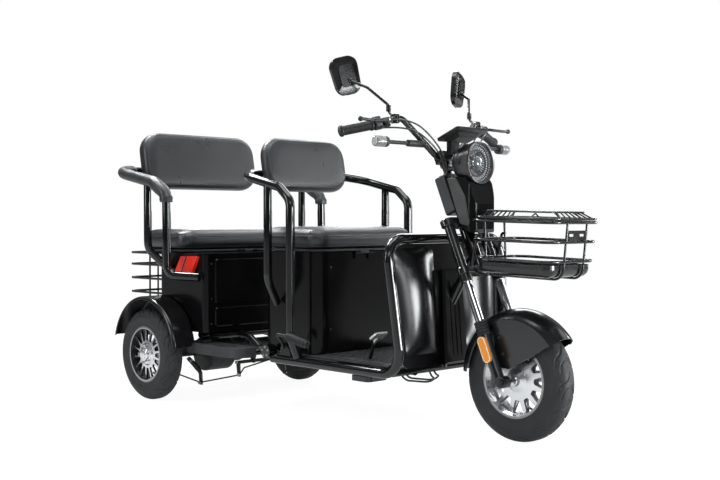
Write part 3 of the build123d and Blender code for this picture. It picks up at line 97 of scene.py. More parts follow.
HALL_WALLS = (
    (0.0, (0.07, 0.07, 0.07)),
    (0.30, (0.10, 0.10, 0.101)),
    (0.40, (0.42, 0.42, 0.4242)),
    (0.52, (0.60, 0.60, 0.606)),
    (0.60, (0.14, 0.14, 0.1414)),
    (1.0, (0.22, 0.22, 0.23)),
)
world = bpy.data.worlds.new("studio")
scene.world = world
world.use_nodes = True
hall = world.node_tree
hall.nodes.clear()
ray = shader_node(hall, "LightPath", {}).outputs
upward = shader_node(hall, "SeparateXYZ", {0: shader_node(hall, "TexCoord", {}).outputs["Generated"]})
walls = shader_node(hall, "Background", {"Color": ramp(hall, upward.outputs["Z"], HALL_WALLS)})
daylight = shader_node(hall, "Background", {"Color": (0.95, 0.97, 1.0, 1.0), "Strength": 0.55})
white = shader_node(hall, "Background", {"Color": (1.0, 1.0, 1.0, 1.0)})
seen = worked_out(hall, "MAXIMUM", ray["Is Camera Ray"], ray["Is Transmission Ray"])
unseen = mixed_shader(hall, ray["Is Glossy Ray"], daylight.outputs[0], walls.outputs[0])
shader_node(hall, "OutputWorld", {"Surface": mixed_shader(hall, seen, unseen, white.outputs[0])})

floor_mesh = bpy.data.meshes.new("floor")
floor_mesh.from_pydata([(-30, -30, 0), (30, -30, 0), (30, 30, 0), (-30, 30, 0)], [], [(0, 1, 2, 3)])
floor = bpy.data.objects.new("floor", floor_mesh)
scene.collection.objects.link(floor)
sweep = bpy.data.materials.new("white_sweep")
sweep.use_nodes = True
ground = sweep.node_tree
ground.nodes.clear()
ray = shader_node(ground, "LightPath", {}).outputs
matt = shader_node(ground, "BsdfDiffuse", {"Color": (0.86, 0.86, 0.86, 1.0)}).outputs[0]
glow = shader_node(ground, "Emission", {"Strength": 1.15}).outputs[0]
seen = worked_out(ground, "MAXIMUM", ray["Is Camera Ray"], ray["Is Transmission Ray"])
seen_share = worked_out(ground, "MULTIPLY", seen, 0.80)
glow_share = worked_out(ground, "MULTIPLY_ADD", ray["Is Glossy Ray"], 0.25, seen_share)
shader_node(ground, "OutputMaterial", {"Surface": mixed_shader(ground, glow_share, matt, glow)})
floor_mesh.materials.append(sweep)

# Each softbox: name, place, what it is aimed at, width, height, watts, and
# whether it is a card that shows only in gloss.
SOFTBOXES = (
    ("overhead", (-0.3, -0.4, 3.4), (0.0, 0.0, 0.5), 2.6, 2.0, 95, False),
    ("far_side_strip", (3.4, -1.5, 1.3), (0.0, -0.3, 0.6), 0.45, 1.7, 60, False),
    ("front_strip", (-0.25, -3.9, 0.85), (0.0, -0.4, 0.5), 0.34, 1.3, 30, False),
    ("wing_sheen", (1.05, -3.9, 0.50), (-0.17, -0.54, 0.45), 1.1, 1.2, 260, True),
    ("saddle_sheen", (2.9, 3.2, 1.30), (0.0, 0.1, 0.65), 2.4, 1.0, 45, True),
    ("backrest_sheen", (2.4, -2.1, 3.1), (0.0, 0.7, 0.95), 1.8, 0.9, 12, True),
    ("seat_edge_sheen", (2.35, 1.3, 2.75), (0.0, 0.0, 0.7), 2.0, 1.5, 72, True),
    ("crown_sheen", (-0.2, 2.1, 3.0), (0.0, -0.5, 0.5), 1.8, 0.5, 150, True),
    ("near_side_strip", (-3.4, 1.2, 1.7), (0.0, 0.3, 0.7), 0.35, 1.9, 45, False),
    ("behind_camera", (-2.6, -3.6, 2.6), (0.0, 0.0, 0.6), 1.4, 1.0, 26, False),
)
for name, place, aim, width, height, watts, only_mirrored in SOFTBOXES:
    data = bpy.data.lights.new(name, "AREA")
    data.shape = "RECTANGLE"
    data.size = width
    data.size_y = height
    data.energy = watts
    data.color = (0.95, 0.985, 1.0)
    lamp = bpy.data.objects.new(name, data)
    scene.collection.objects.link(lamp)
    lamp.location = place
    lamp.rotation_euler = (Vector(aim) - Vector(place)).to_track_quat("-Z", "Y").to_euler()
    lamp.visible_camera = False
    lamp.visible_diffuse = not only_mirrored

# ---- Cables --------------------------------------------------------------
# Brake cables and switch leads in 6 mm black PVC sleeve run from the levers
# and pods into the lock box.  Two 7 mm motor leads loop under the floor and
# go back up into the frame.
HANDS = ((-1, "right"), (1, "left"))


def new_finish(name, **values):
    """The surface shader of one finish, with the values that are even all over it."""
    finish = bpy.data.materials.new(name)
    finish.use_nodes = True
    surface = finish.node_tree.nodes["Principled BSDF"]
    for socket, value in values.items():
        surface.inputs[socket.replace("_", " ")].default_value = value
    return finish


def drive(finish, socket, source):
    """Lets a node's output set one of the values of a finish."""
    finish.node_tree.links.new(source, finish.node_tree.nodes["Principled BSDF"].inputs[socket])


def place_on(tree, kind="Object"):
    """Position on a piece, or with kind Normal the way its surface faces."""
    node = tree.nodes.get("place")
    if node is None:
        node = shader_node(tree, "TexCoord", {}, name="place")
    return node.outputs[kind]


def share_between(tree, value, low, high, start=0.0, end=1.0, soft=False):
    """Goes from start to end while a value goes from low to high."""
    inputs = {"Value": value, "From Min": low, "From Max": high, "To Min": start, "To Max": end}
    step = "SMOOTHSTEP" if soft else "LINEAR"
    return shader_node(tree, "MapRange", inputs, interpolation_type=step).outputs["Result"]


def relief(finish, height, depth, strength):
    """Adds a bump of the given depth in metres to the relief that a finish has."""
    tree = finish.node_tree
    normal = tree.nodes["Principled BSDF"].inputs["Normal"]
    bump = shader_node(tree, "Bump", {"Strength": strength, "Distance": depth, "Height": height})
    if normal.is_linked:
        tree.links.new(normal.links[0].from_socket, bump.inputs["Normal"])
    drive(finish, "Normal", bump.outputs["Normal"])


def grain(finish, scale, depth, strength, detail=2.0):
    """Fine pitting, orange peel or the waves of a moulding."""
    tree = finish.node_tree
    noise = shader_node(tree, "TexNoise", {"Scale": scale, "Detail": detail, "Vector": place_on(tree)})
    relief(finish, noise.outputs["Fac"], depth, strength)


def clouded_finish(name, scale, gloss, dark, light, pits=(), **values):
    """A finish with soft clouds of roughness and shade, and a grain where pits are given."""
    finish = new_finish(name, **values)
    tree = finish.node_tree
    noise = shader_node(tree, "TexNoise", {"Scale": scale, "Detail": 3.0, "Vector": place_on(tree)})
    clouds = noise.outputs["Fac"]
    drive(finish, "Roughness", share_between(tree, clouds, 0.3, 0.7, *gloss))
    drive(finish, "Base Color", ramp(tree, clouds, ((0.32, dark), (0.68, light))))
    if pits:
        grain(finish, *pits)
    return finish


def dress(finish, *nodes):
    """Puts a finish on CAD nodes."""
    for node in nodes:
        for material_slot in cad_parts[node].material_slots:
            material_slot.material = finish


def new_piece(name, data):
    """Stands mesh or curve data in the scene."""
    piece = bpy.data.objects.new(name, data)
    scene.collection.objects.link(piece)
    return piece


def fit(piece, finish, body, stands_for=None):
    """Finishes a piece and fixes it to one of the vehicle's bodies."""
    piece.data.materials.append(finish)
    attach(piece, body)
    if stands_for:
        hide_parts(stands_for)
    return piece


cable_sleeve = clouded_finish(
    "cable_sleeve", 60.0, (0.28, 0.46), (0.009, 0.009, 0.010), (0.020, 0.020, 0.021),
    (900.0, 0.0003, 0.2), Specular_IOR_Level=0.45,
)


def cable(name, route, diameter, body, node):
    """A sleeve through its control points."""
    curve = bpy.data.curves.new(name, "CURVE")
    curve.dimensions = "3D"
    curve.resolution_u = 14
    curve.bevel_depth = diameter / 2
    curve.bevel_resolution = 4
    line = curve.splines.new("NURBS")
    line.points.add(len(route) - 1)
    for control, point in zip(line.points, route):
        control.co = (*point, 1.0)
    line.order_u = 3
    line.use_endpoint_u = True
    piece = fit(new_piece(name, curve), cable_sleeve, body, node)


BRAKE_ROUTE = (
    (-0.243, -0.491, 1.075), (-0.180, -0.522, 1.078), (-0.098, -0.552, 1.006),
    (-0.046, -0.5575, 0.935), (-0.044, -0.5575, 0.889),
)
SWITCH_ROUTE = (
    (-0.277, -0.470, 1.046), (-0.200, -0.528, 1.054), (-0.116, -0.560, 0.992),
    (-0.058, -0.5575, 0.930), (-0.053, -0.5575, 0.889),
)
NEAR_LEAD = (
    (-0.178, -0.464, 0.236), (-0.176, -0.484, 0.192), (-0.150, -0.526, 0.190), (-0.096, -0.534, 0.181),
    (-0.046, -0.526, 0.190), (-0.030, -0.484, 0.192), (-0.028, -0.464, 0.236),
)
FAR_LEAD = (
    (-0.192, -0.458, 0.236), (-0.188, -0.478, 0.184), (-0.150, -0.512, 0.180), (-0.096, -0.520, 0.172),
    (-0.056, -0.512, 0.180), (-0.044, -0.478, 0.186), (-0.042, -0.458, 0.236),
)
for side, hand in HANDS:
    for name, route, length in (("brake_cable", BRAKE_ROUTE, 0.309), ("switch_lead", SWITCH_ROUTE, 0.322)):
        own_side = [(-side * x, y, z) for x, y, z in route]
        cable(name + "_" + hand, own_side, 0.006, "steering", "control_cables")
cable("motor_lead_near", NEAR_LEAD, 0.007, "chassis", "floor_cables")
cable("motor_lead_far", FAR_LEAD, 0.007, "chassis", "floor_cables")

# ---- Frame ---------------------------------------------------------------
# Welded round steel tube: floor rails, neck, cross members, and the guard
# round the leg shield.  It is dipped and then sprayed gloss black, which
# leaves a faint orange peel.
tube_paint = clouded_finish(
    "gloss_tube_paint", 9.0, (0.05, 0.12), (0.0025, 0.0025, 0.003), (0.0055, 0.0055, 0.006),
    (420.0, 0.0004, 0.05), Specular_IOR_Level=0.45,
)
dress(tube_paint, "main_frame", "guard_tubes")

# ---- Rear axle, motor and springs ----------------------------------------
# Axle tube with differential, leaf springs and the rods of the drum brakes,
# brushed over in satin black.  The motor is a smooth alloy can beside it.
chassis_paint = clouded_finish(
    "satin_chassis_paint", 22.0, (0.32, 0.56), (0.006, 0.006, 0.006), (0.014, 0.0135, 0.013),
    (900.0, 0.0004, 0.20), Specular_IOR_Level=0.25,
)
motor_paint = clouded_finish(
    "motor_paint", 40.0, (0.34, 0.52), (0.014, 0.014, 0.015), (0.034, 0.034, 0.035),
    (500.0, 0.0005, 0.3), Metallic=0.5,
)
dress(chassis_paint, "rear_axle", "rear_springs", "brake_linkage")
dress(motor_paint, "drive_motor")

# ---- Tyres ---------------------------------------------------------------
# Soft road tyres in grey-black rubber, moulded in two halves: sparse curved
# grooves run from the crown to the shoulders, and fine ribs ring the wall.
tyre_rubber = clouded_finish(
    "tyre_rubber", 16.0, (0.50, 0.72), (0.013, 0.0135, 0.0145), (0.023, 0.0235, 0.025),
    (1300.0, 0.0004, 0.3), Specular_IOR_Level=0.30,
)

TURNS = 660
GROOVE_CELLS = 14
CELL_LENGTH, TREAD_HALF = 0.090, 0.052
GROOVE_FLANK = 0.0018
# Grooves of one cell: width, depth and their line, as shares of the cell's
# length and of the half tread.
GROOVES = (
    (0.0056, 0.0042, ((0.02, 0.06), (0.16, 0.14), (0.30, 0.34), (0.40, 0.62), (0.56, 0.84), (0.78, 0.94))),
    (0.0040, 0.0034, ((0.58, 0.30), (0.68, 0.50), (0.84, 0.62), (1.02, 0.66))),
    (0.0032, 0.0026, ((0.30, 0.88), (0.42, 0.74), (0.60, 0.70))),
)
WALL_RIBS = (0.010, 0.013, 0.016, 0.030)
RIB_HALF, RIB_HEIGHT = 0.0012, 0.0005


def smooth_line(points, count):
    """Count points on the soft curve that passes through the given ones."""
    points = np.array(points, dtype=float)
    padded = np.vstack([2 * points[0] - points[1], points, 2 * points[-1] - points[-2]])
    line = []
    for k in np.linspace(0, len(points) - 1, count):
        i = min(int(k), len(points) - 2)
        t = k - i
        a, b, c, d = padded[i : i + 4]
        bend = (2 * a - 5 * b + 4 * c - d) * t * t + (3 * b - a - 3 * c + d) * t**3
        line.append(0.5 * (2 * b + (c - a) * t + bend))
    return np.array(line)


def tyre_section(outer_d, width, rim_d):
    """Closed outline of the tyre as (x, radius): crown, wall, bead, seat and back."""
    crown, half, rim = outer_d / 2, width / 2, rim_d / 2
    seat = rim - 0.010
    bead = half - 0.0097
    belly = (crown + seat) / 2 + 0.002
    side = smooth_line(
        (
            (0.0, crown),
            (0.30 * half, crown - 0.012 * half),
            (0.55 * half, crown - 0.11 * half),
            (0.75 * half, crown - 0.31 * half),
            (0.93 * half, crown - 0.62 * half),
            (half, belly),
            (0.965 * half, belly - 0.014),
            (bead + 0.0058, rim + 0.008),
            (bead + 0.0056, rim + 0.001),
            (bead + 0.0050, rim - 0.0042),
            (bead + 0.0036, rim - 0.0050),
            (bead, rim - 0.0030),
        ),
        70,
    )
    right = np.vstack([side, [(bead - 0.0005, seat + 0.0008), (0.0, seat + 0.0008)]])
    left = right[-2:0:-1] * (-1, 1)
    return np.vstack([right, left]), len(side)


def groove_depth(along, across):
    """Depth cut at points given by their share of a cell round the tyre and of the half tread."""
    depth = np.zeros(along.shape)
    for width, deep, points in GROOVES:
        line = smooth_line(points, 40)
        for lap in (-1.0, 0.0, 1.0):
            du = (along[..., None] - line[:, 0] - lap) * CELL_LENGTH
            dv = (across[..., None] - line[:, 1]) * TREAD_HALF
            gap = np.sqrt(np.min(du**2 + dv**2, axis=-1))
            edge = np.clip((width / 2 + GROOVE_FLANK / 2 - gap) / GROOVE_FLANK, 0.0, 1.0)
            depth = np.maximum(depth, deep * edge * edge * (3 - 2 * edge))
    return depth


def make_tyre(name, node, body, centre, outer_d, width, rim_d):
    """A tyre turned from its section, with the grooves cut and the wall ribs raised."""
    section, wall = tyre_section(outer_d, width, rim_d)
    rows = len(section)
    angle = np.arange(TURNS) * 2 * math.pi / TURNS
    share = np.full(rows, 2.0)
    steps = np.hypot(*np.diff(section[:wall], axis=0).T)
    share[:wall] = np.concatenate([[0.0], np.cumsum(steps)]) / TREAD_HALF
    share[-1 : -wall : -1] = share[1:wall]
    stagger = np.where(section[:, 0] >= 0, 0.0, 0.5)
    along = (angle[:, None] / (2 * math.pi) * GROOVE_CELLS + stagger) % 1.0
    radius = section[:, 1] - groove_depth(along, np.broadcast_to(share, along.shape)) * (share < 1.05)
    bulge = np.zeros(rows)
    for rib in WALL_RIBS:
        on_rib = np.abs(section[:, 1] - (rim_d / 2 + rib)) < RIB_HALF
        bulge[on_rib & (np.abs(section[:, 0]) > 0.3 * width)] = RIB_HEIGHT
    x = np.broadcast_to(centre[0] + section[:, 0] + np.sign(section[:, 0]) * bulge, radius.shape)
    y = centre[1] + radius * np.cos(angle)[:, None]
    z = centre[2] + radius * np.sin(angle)[:, None]
    faces = []
    for i in range(TURNS):
        here, there = i * rows, (i + 1) % TURNS * rows
        for j in range(rows):
            up = (j + 1) % rows
            faces.append((here + j, there + j, there + up, here + up))
    mesh = bpy.data.meshes.new(name)
    mesh.from_pydata(np.stack([x, y, z], axis=-1).reshape(-1, 3).tolist(), [], faces)
    mesh.polygons.foreach_set("use_smooth", [True] * len(faces))
    mesh.update()
    fit(new_piece(name, mesh), tyre_rubber, body, node)


WHEELS = {}
for end, node, body, outer_d, width, rim_d in (
    ("front", "front_tyre", "front_wheel", 0.411, 0.086, 0.262),
    ("right", "rear_tyre_right", "rear_wheel_right", 0.371, 0.082, 0.238),
    ("left", "rear_tyre_left", "rear_wheel_left", 0.371, 0.082, 0.238),
):
    centre = [(a + b) / 2 for a, b in zip(*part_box(node))]
    WHEELS[end] = (body, centre, rim_d / 2)
    make_tyre("tyre_" + end, node, body, centre, outer_d, width, rim_d)

# ---- Rims ----------------------------------------------------------------
# Cast aluminium wheels, polished on the face, lip and hub; the sides of the
# windows are coloured dark and rough, and the lip is coloured darker as
# painted shade.  Rubber valve with a metal cap.
def blend_colour(tree, share, first, second):
    """One shade passing into another by a share."""
    return shader_node(tree, "Mix", {"Factor": share, 6: first, 7: second}, data_type="RGBA").outputs[2]


def spoke_alloy(name, centre, near, far):
    """Polished metal with darker, rougher window sides between two radii from the axle, and painted shade on
    the outer edge beyond them.
    """
    metal = new_finish(name, Metallic=0.92)
    tree = metal.node_tree
    off = shader_node(tree, "VectorMath", {0: place_on(tree), 1: centre}, operation="SUBTRACT").outputs[0]
    flat = shader_node(tree, "VectorMath", {0: off, 1: (0.0, 1.0, 1.0)}, operation="MULTIPLY").outputs[0]
    reach = shader_node(tree, "VectorMath", {0: flat}, operation="LENGTH").outputs["Value"]
    past_hub = share_between(tree, reach, near - 0.002, near + 0.002, soft=True)
    in_windows = worked_out(tree, "MULTIPLY", past_hub, worked_out(tree, "LESS_THAN", reach, far))
    facing = shader_node(tree, "SeparateXYZ", {0: place_on(tree, "Normal")}).outputs["X"]
    wall = worked_out(tree, "LESS_THAN", worked_out(tree, "ABSOLUTE", facing), 0.55)
    dull = worked_out(tree, "MULTIPLY", in_windows, wall)
    noise = shader_node(tree, "TexNoise", {"Scale": 55.0, "Vector": place_on(tree)})
    polish = share_between(tree, noise.outputs["Fac"], 0.0, 1.0, 0.17, 0.30)
    rough = shader_node(tree, "Mix", {"Factor": dull, "A": polish, "B": 0.48})
    drive(metal, "Roughness", rough.outputs["Result"])
    shade = blend_colour(tree, dull, (0.66, 0.67, 0.68, 1.0), (0.06, 0.06, 0.062, 1.0))
    # Painted shade: the rim edge beyond the windows is coloured darker.
    lip_painted_shade = share_between(tree, reach, far, far + 0.002)
    drive(metal, "Base Color", blend_colour(tree, lip_painted_shade, shade, (0.22, 0.22, 0.225, 1.0)))
    grain(metal, 700.0, 0.0002, 0.15)
    return metal


front_alloy = spoke_alloy("polished_alloy_front", WHEELS["front"][1], 0.064, 0.1165)
rear_alloy = spoke_alloy("polished_alloy_rear", (0.0, *WHEELS["right"][1][1:]), 0.053, 0.1055)
dress(front_alloy, "front_rim")
dress(rear_alloy, "rear_rim_right", "rear_rim_left")
bare_steel = clouded_finish(
    "zinc_steel", 70.0, (0.24, 0.44), (0.34, 0.34, 0.35), (0.52, 0.52, 0.53),
    (600.0, 0.0003, 0.2), Metallic=1.0,
)
black_bolt = clouded_finish(
    "black_bolt", 90.0, (0.26, 0.44), (0.011, 0.011, 0.012), (0.028, 0.028, 0.030),
    (700.0, 0.0003, 0.2), Metallic=0.4,
)
dress(black_bolt, "front_axle")


def closed_mesh(name, mesh, smooth=False):
    """Turns the faces of a modelled mesh outward and keeps it as mesh data."""
    bmesh.ops.recalc_face_normals(mesh, faces=mesh.faces)
    data = bpy.data.meshes.new(name)
    mesh.to_mesh(data)
    mesh.free()
    if smooth:
        data.polygons.foreach_set("use_smooth", [True] * len(data.polygons))
    return data


def skin(name, rings, smooth=False):
    """Closed mesh data through rings of points, capped at both ends."""
    mesh = bmesh.new()
    loops = [[mesh.verts.new(point) for point in ring] for ring in rings]
    for below, above in zip(loops, loops[1:]):
        for k in range(len(below)):
            mesh.faces.new((below[k - 1], below[k], above[k], above[k - 1]))
    mesh.faces.new(loops[0][::-1])
    mesh.faces.new(loops[-1])
    return closed_mesh(name, mesh, smooth)


def turned_piece(name, profile, seat, up, finish, body, six_sided=(), sides=24):
    """A small turned piece from (radius, height) pairs; the named rings are hexagons."""
    rings = []
    for number, (radius, height) in enumerate(profile):
        ring = []
        for k in range(sides):
            angle = 2 * math.pi * k / sides
            flat = math.cos(angle % (math.pi / 3) - math.pi / 6) if number in six_sided else 1.0
            ring.append((radius / flat * math.cos(angle), radius / flat * math.sin(angle), height))
        rings.append(ring)
    data = skin(name, rings)
    turn = Vector(up).to_track_quat("Z", "Y").to_matrix().to_4x4()
    data.transform(Matrix.Translation(Vector(seat)) @ turn)
    fit(new_piece(name, data), finish, body)


HEX_HEAD = ((1.28, None), (1.28, 0.18), (1.0, 0.18), (1.0, 0.90), (0.86, 1.05))
DOME_HEAD = ((1.0, None), (1.0, 0.12), (0.90, 0.38), (0.66, 0.55), (0.42, 0.60), (0.40, 0.25), (0.02, 0.22))


def head_profile(shape, size):
    """A bolt head's outline at its size, sunk 1 mm into what it is screwed to."""
    return [(radius * size, -0.001 if height is None else height * size) for radius, height in shape]


def hex_head(name, seat, up, across, body, finish=bare_steel):
    """Hexagon head with a chamfered top on its washer."""
    turned_piece(name, head_profile(HEX_HEAD, across / 2), seat, up, finish, body, (2, 3))


def dome_head(name, seat, up, radius, body):
    """Button head with a socket in its top."""
    turned_piece(name, head_profile(DOME_HEAD, radius), seat, up, black_bolt, body)


node_surfaces = {}


def touch(node, start, aim):
    """Where a line from start along aim first meets a CAD node, and the surface's direction there."""
    if node not in node_surfaces:
        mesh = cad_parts[node].data
        corners = [v.co for v in mesh.vertices]
        node_surfaces[node] = BVHTree.FromPolygons(corners, [p.vertices for p in mesh.polygons])
    hit, normal, face, gap = node_surfaces[node].ray_cast(Vector(start), Vector(aim).normalized(), 2.0)
    if hit is None:
        raise ValueError("nothing of " + node + " lies that way")
    if normal.dot(Vector(aim)) > 0:
        normal.negate()
    return hit, normal


VALVE_LEAN = (0.55, 0.835)
VALVE_STEM = ((0.0052, -0.004), (0.0052, 0.003), (0.0036, 0.010), (0.0034, 0.024))
VALVE_CAP = ((0.0040, 0.022), (0.0044, 0.024), (0.0044, 0.031), (0.0034, 0.034), (0.001, 0.0345))
for end, (body, centre, rim_r) in WHEELS.items():
    out = 1 if end == "left" else -1
    back, down = VALVE_LEAN
    seat = (centre[0] + out * 0.004, centre[1] - (rim_r - 0.015) * back, centre[2] - (rim_r - 0.015) * down)
    lean = (out * 0.75, back * 0.66, down * 0.66)
    turned_piece("valve_" + end, VALVE_STEM, seat, lean, tyre_rubber, body)
    turned_piece("valve_cap_" + end, VALVE_CAP, seat, lean, bare_steel, body)

WHEEL_BOLTS, BOLT_CIRCLE = 5, 0.035
HUB_CAP = ((0.019, -0.001), (0.019, 0.001), (0.0175, 0.0022), (0.010, 0.0035), (0.001, 0.004))
for side, hand in HANDS:
    body, (x, y, z), rim_r = WHEELS[hand]
    for k in range(WHEEL_BOLTS):
        angle = 2 * math.pi * k / WHEEL_BOLTS
        start = (x + side * 0.2, y + BOLT_CIRCLE * math.cos(angle), z + BOLT_CIRCLE * math.sin(angle))
        seat, facing = touch("rear_rim_" + hand, start, (-side, 0, 0))
        hex_head("wheel_bolt_" + hand + "_" + str(k), seat, (side, 0, 0), 0.0085, body)
    seat, facing = touch("rear_rim_" + hand, (x + side * 0.2, y, z), (-side, 0, 0))
    turned_piece("hub_cap_" + hand, HUB_CAP, seat, (side, 0, 0), rear_alloy, body)

LINK_PINS = ((0.382, 0.120), (0.640, 0.060), (0.700, 0.145), (0.388, 0.168))
for side, hand in HANDS:
    for number, (y, z) in enumerate(LINK_PINS):
        seat, facing = touch("brake_linkage", (side * 0.5, y, z), (-side, 0, 0))
        hex_head("link_pin_" + str(number) + "_" + hand, seat, (side, 0, 0), 0.011, "chassis")

# ---- Floor and foot mat --------------------------------------------------
# Pressed floor plate under a moulded mat: charcoal plastic with rows of small
# raised studs between the long ribs.  The passengers' boards are screwed on,
# and the frame's disc on each side has five bolts.
moulded = clouded_finish(
    "grained_plastic", 34.0, (0.40, 0.60), (0.012, 0.012, 0.013), (0.023, 0.023, 0.024),
    (1500.0, 0.0006, 0.35), Specular_IOR_Level=0.35,
)
board_plastic = clouded_finish(
    "footboard_plastic", 26.0, (0.44, 0.64), (0.020, 0.020, 0.021), (0.034, 0.034, 0.035),
    (1200.0, 0.0007, 0.4), Specular_IOR_Level=0.35,
)
mat_plastic = clouded_finish(
    "studded_mat", 30.0, (0.34, 0.52), (0.027, 0.027, 0.028), (0.044, 0.044, 0.045), Specular_IOR_Level=0.50,
)
mat = mat_plastic.node_tree
waves = []
for turn in (45.0, -45.0):
    slant = shader_node(mat, "Mapping", {"Vector": place_on(mat), "Rotation": (0.0, 0.0, math.radians(turn))})
    wave = shader_node(mat, "TexWave", {"Scale": 30.0, "Vector": slant.outputs["Vector"]})
    waves.append(wave.outputs["Fac"])
relief(mat_plastic, worked_out(mat, "MULTIPLY", *waves), 0.0025, 0.8)
grain(mat_plastic, 1100.0, 0.0005, 0.3)
dress(mat_plastic, "floor_pan")
dress(board_plastic, "passenger_footboards")
dress(moulded, "battery")

BOARD_SCREW_X, BOARD_SCREWS_Y = 0.317, (0.300, 0.545)
DISC_BOLTS, DISC_CIRCLE = 5, 0.017
DISC_MIDDLE = (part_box("guard_tubes")[1][1] - 0.026, 0.238)
for side, hand in HANDS:
    for y in BOARD_SCREWS_Y:
        seat, facing = touch("passenger_footboards", (side * BOARD_SCREW_X, y, 0.5), (0, 0, -1))
        dome_head("board_screw_" + str(int(y * 1000)) + "_" + hand, seat, facing, 0.007, "chassis")
    for k in range(DISC_BOLTS):
        angle = 2 * math.pi * k / DISC_BOLTS + 0.3
        y = DISC_MIDDLE[0] + DISC_CIRCLE * math.cos(angle)
        z = DISC_MIDDLE[1] + DISC_CIRCLE * math.sin(angle)
        seat, facing = touch("guard_tubes", (side * 0.5, y, z), (-side, 0, 0))
        hex_head("pivot_bolt_" + str(k) + "_" + hand, seat, (side, 0, 0), 0.006, "chassis")

# ---- Leg shield ----------------------------------------------------------
# One thick gloss black moulding, bolted inside the guard tube, with a long
# crowned wing on each side of its flat middle.  Mirror smooth, with the
# slight waviness of a large thin moulding.
shield_gloss = clouded_finish(
    "gloss_shield", 5.0, (0.20, 0.26), (0.0016, 0.0016, 0.0019), (0.0032, 0.0032, 0.0036),
    (9.0, 0.004, 0.04, 1.0), Specular_IOR_Level=0.24,
)
PANEL_FOOT = Vector((0.0, -0.544, 0.232))
PANEL_TILT = math.radians(5.0)
PANEL_UP = Vector((0.0, math.sin(PANEL_TILT), math.cos(PANEL_TILT)))
PANEL_OUT = Vector((0.0, -math.cos(PANEL_TILT), math.sin(PANEL_TILT)))
PANEL_T = 0.005
WING_RISE = 0.027
WING_LAP, WING_SINK = 0.0003, 0.0015
WING_INNER_X = 0.073
WING_OUTER_FOOT_X, WING_OUTER_HEAD_X = 0.235, 0.269
WING_FOOT, WING_HEAD = 0.045, 0.408
ACROSS_STEPS, UP_STEPS = 40, 60


def wing_sheets(side):
    """Rows of points over a wing's crowned face, and over its flat back in the panel."""
    faces, backs = [], []
    for j in range(UP_STEPS + 1):
        up = j / UP_STEPS
        outer_x = WING_OUTER_FOOT_X + (WING_OUTER_HEAD_X - WING_OUTER_FOOT_X) * up
        face, back = [], []
        for i in range(ACROSS_STEPS + 1):
            across = i / ACROSS_STEPS
            crown = WING_RISE * (1 - (2 * across - 1) ** 2) * (1 - (2 * up - 1) ** 4)
            spot = PANEL_FOOT + PANEL_UP * (WING_FOOT + (WING_HEAD - WING_FOOT) * up)
            spot.x = side * (WING_INNER_X + (outer_x - WING_INNER_X) * across)
            face.append(spot + PANEL_OUT * (PANEL_T + WING_LAP + crown))
            back.append(spot + PANEL_OUT * (PANEL_T - WING_SINK))
        faces.append(face)
        backs.append(back)
    return faces, backs


panel = bmesh.new()
panel.from_mesh(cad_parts["leg_shield"].data)
bmesh.ops.transform(panel, matrix=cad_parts["leg_shield"].matrix_world, verts=panel.verts)
for vert in panel.verts:
    out = (vert.co - PANEL_FOOT).dot(PANEL_OUT)
    if out > PANEL_T and abs(vert.co.x) > WING_INNER_X - 0.003:
        vert.co += PANEL_OUT * (PANEL_T - out)
for side in (-1, 1):
    rims = []
    for sheet in wing_sheets(side):
        rows = [[panel.verts.new(spot) for spot in row] for row in sheet]
        for low_row, high_row in zip(rows, rows[1:]):
            for i in range(ACROSS_STEPS):
                panel.faces.new((low_row[i], low_row[i + 1], high_row[i + 1], high_row[i]))
        outer_side = [row[-1] for row in rows[1:]]
        inner_side = [row[0] for row in rows[-2:0:-1]]
        rims.append(rows[0] + outer_side + rows[-1][-2::-1] + inner_side)
    top, under = rims
    for k in range(len(top)):
        panel.faces.new((top[k], top[k - 1], under[k - 1], under[k]))
data = closed_mesh("leg_shield_moulding", panel, smooth=True)
data.set_sharp_from_angle(angle=math.radians(24))
fit(new_piece("leg_shield_moulding", data), shield_gloss, "chassis", "leg_shield")

# ---- Seat boxes and fenders ----------------------------------------------
# Rotation-moulded storage boxes under both seats; their fronts are gloss
# panels framed by a shallow bead and held by black screws.  The fenders are
# moulded in the same black.
panel_gloss = clouded_finish(
    "gloss_panel", 5.0, (0.15, 0.21), (0.0016, 0.0016, 0.0019), (0.0032, 0.0032, 0.0036),
    (9.0, 0.004, 0.05, 1.0), Specular_IOR_Level=0.15,
)
fender_paint = clouded_finish(
    "fender_paint", 8.0, (0.16, 0.23), (0.0045, 0.0045, 0.005), (0.0075, 0.0075, 0.008),
    (420.0, 0.0004, 0.06), Specular_IOR_Level=0.50,
)
dress(panel_gloss, "seat_box", "rear_box")
dress(fender_paint, "rear_fenders", "front_fender")
# Each set of screws: name, box, distance from the middle, heights, radius, and
# a place in front of the box.
BOX_SCREWS = (
    ("panel_screw_", "rear_box", 0.300, (0.560, 0.420, 0.320), 0.0040, 0.2),
    ("box_screw_", "seat_box", 0.170, (0.330, 0.560), 0.0045, -0.5),
)
for side, hand in HANDS:
    for name, box, x, heights, radius, before in BOX_SCREWS:
        for z in heights:
            seat, facing = touch(box, (side * x, before, z), (0, 1, 0))
            dome_head(name + str(int(z * 1000)) + "_" + hand, seat, facing, radius, "chassis")

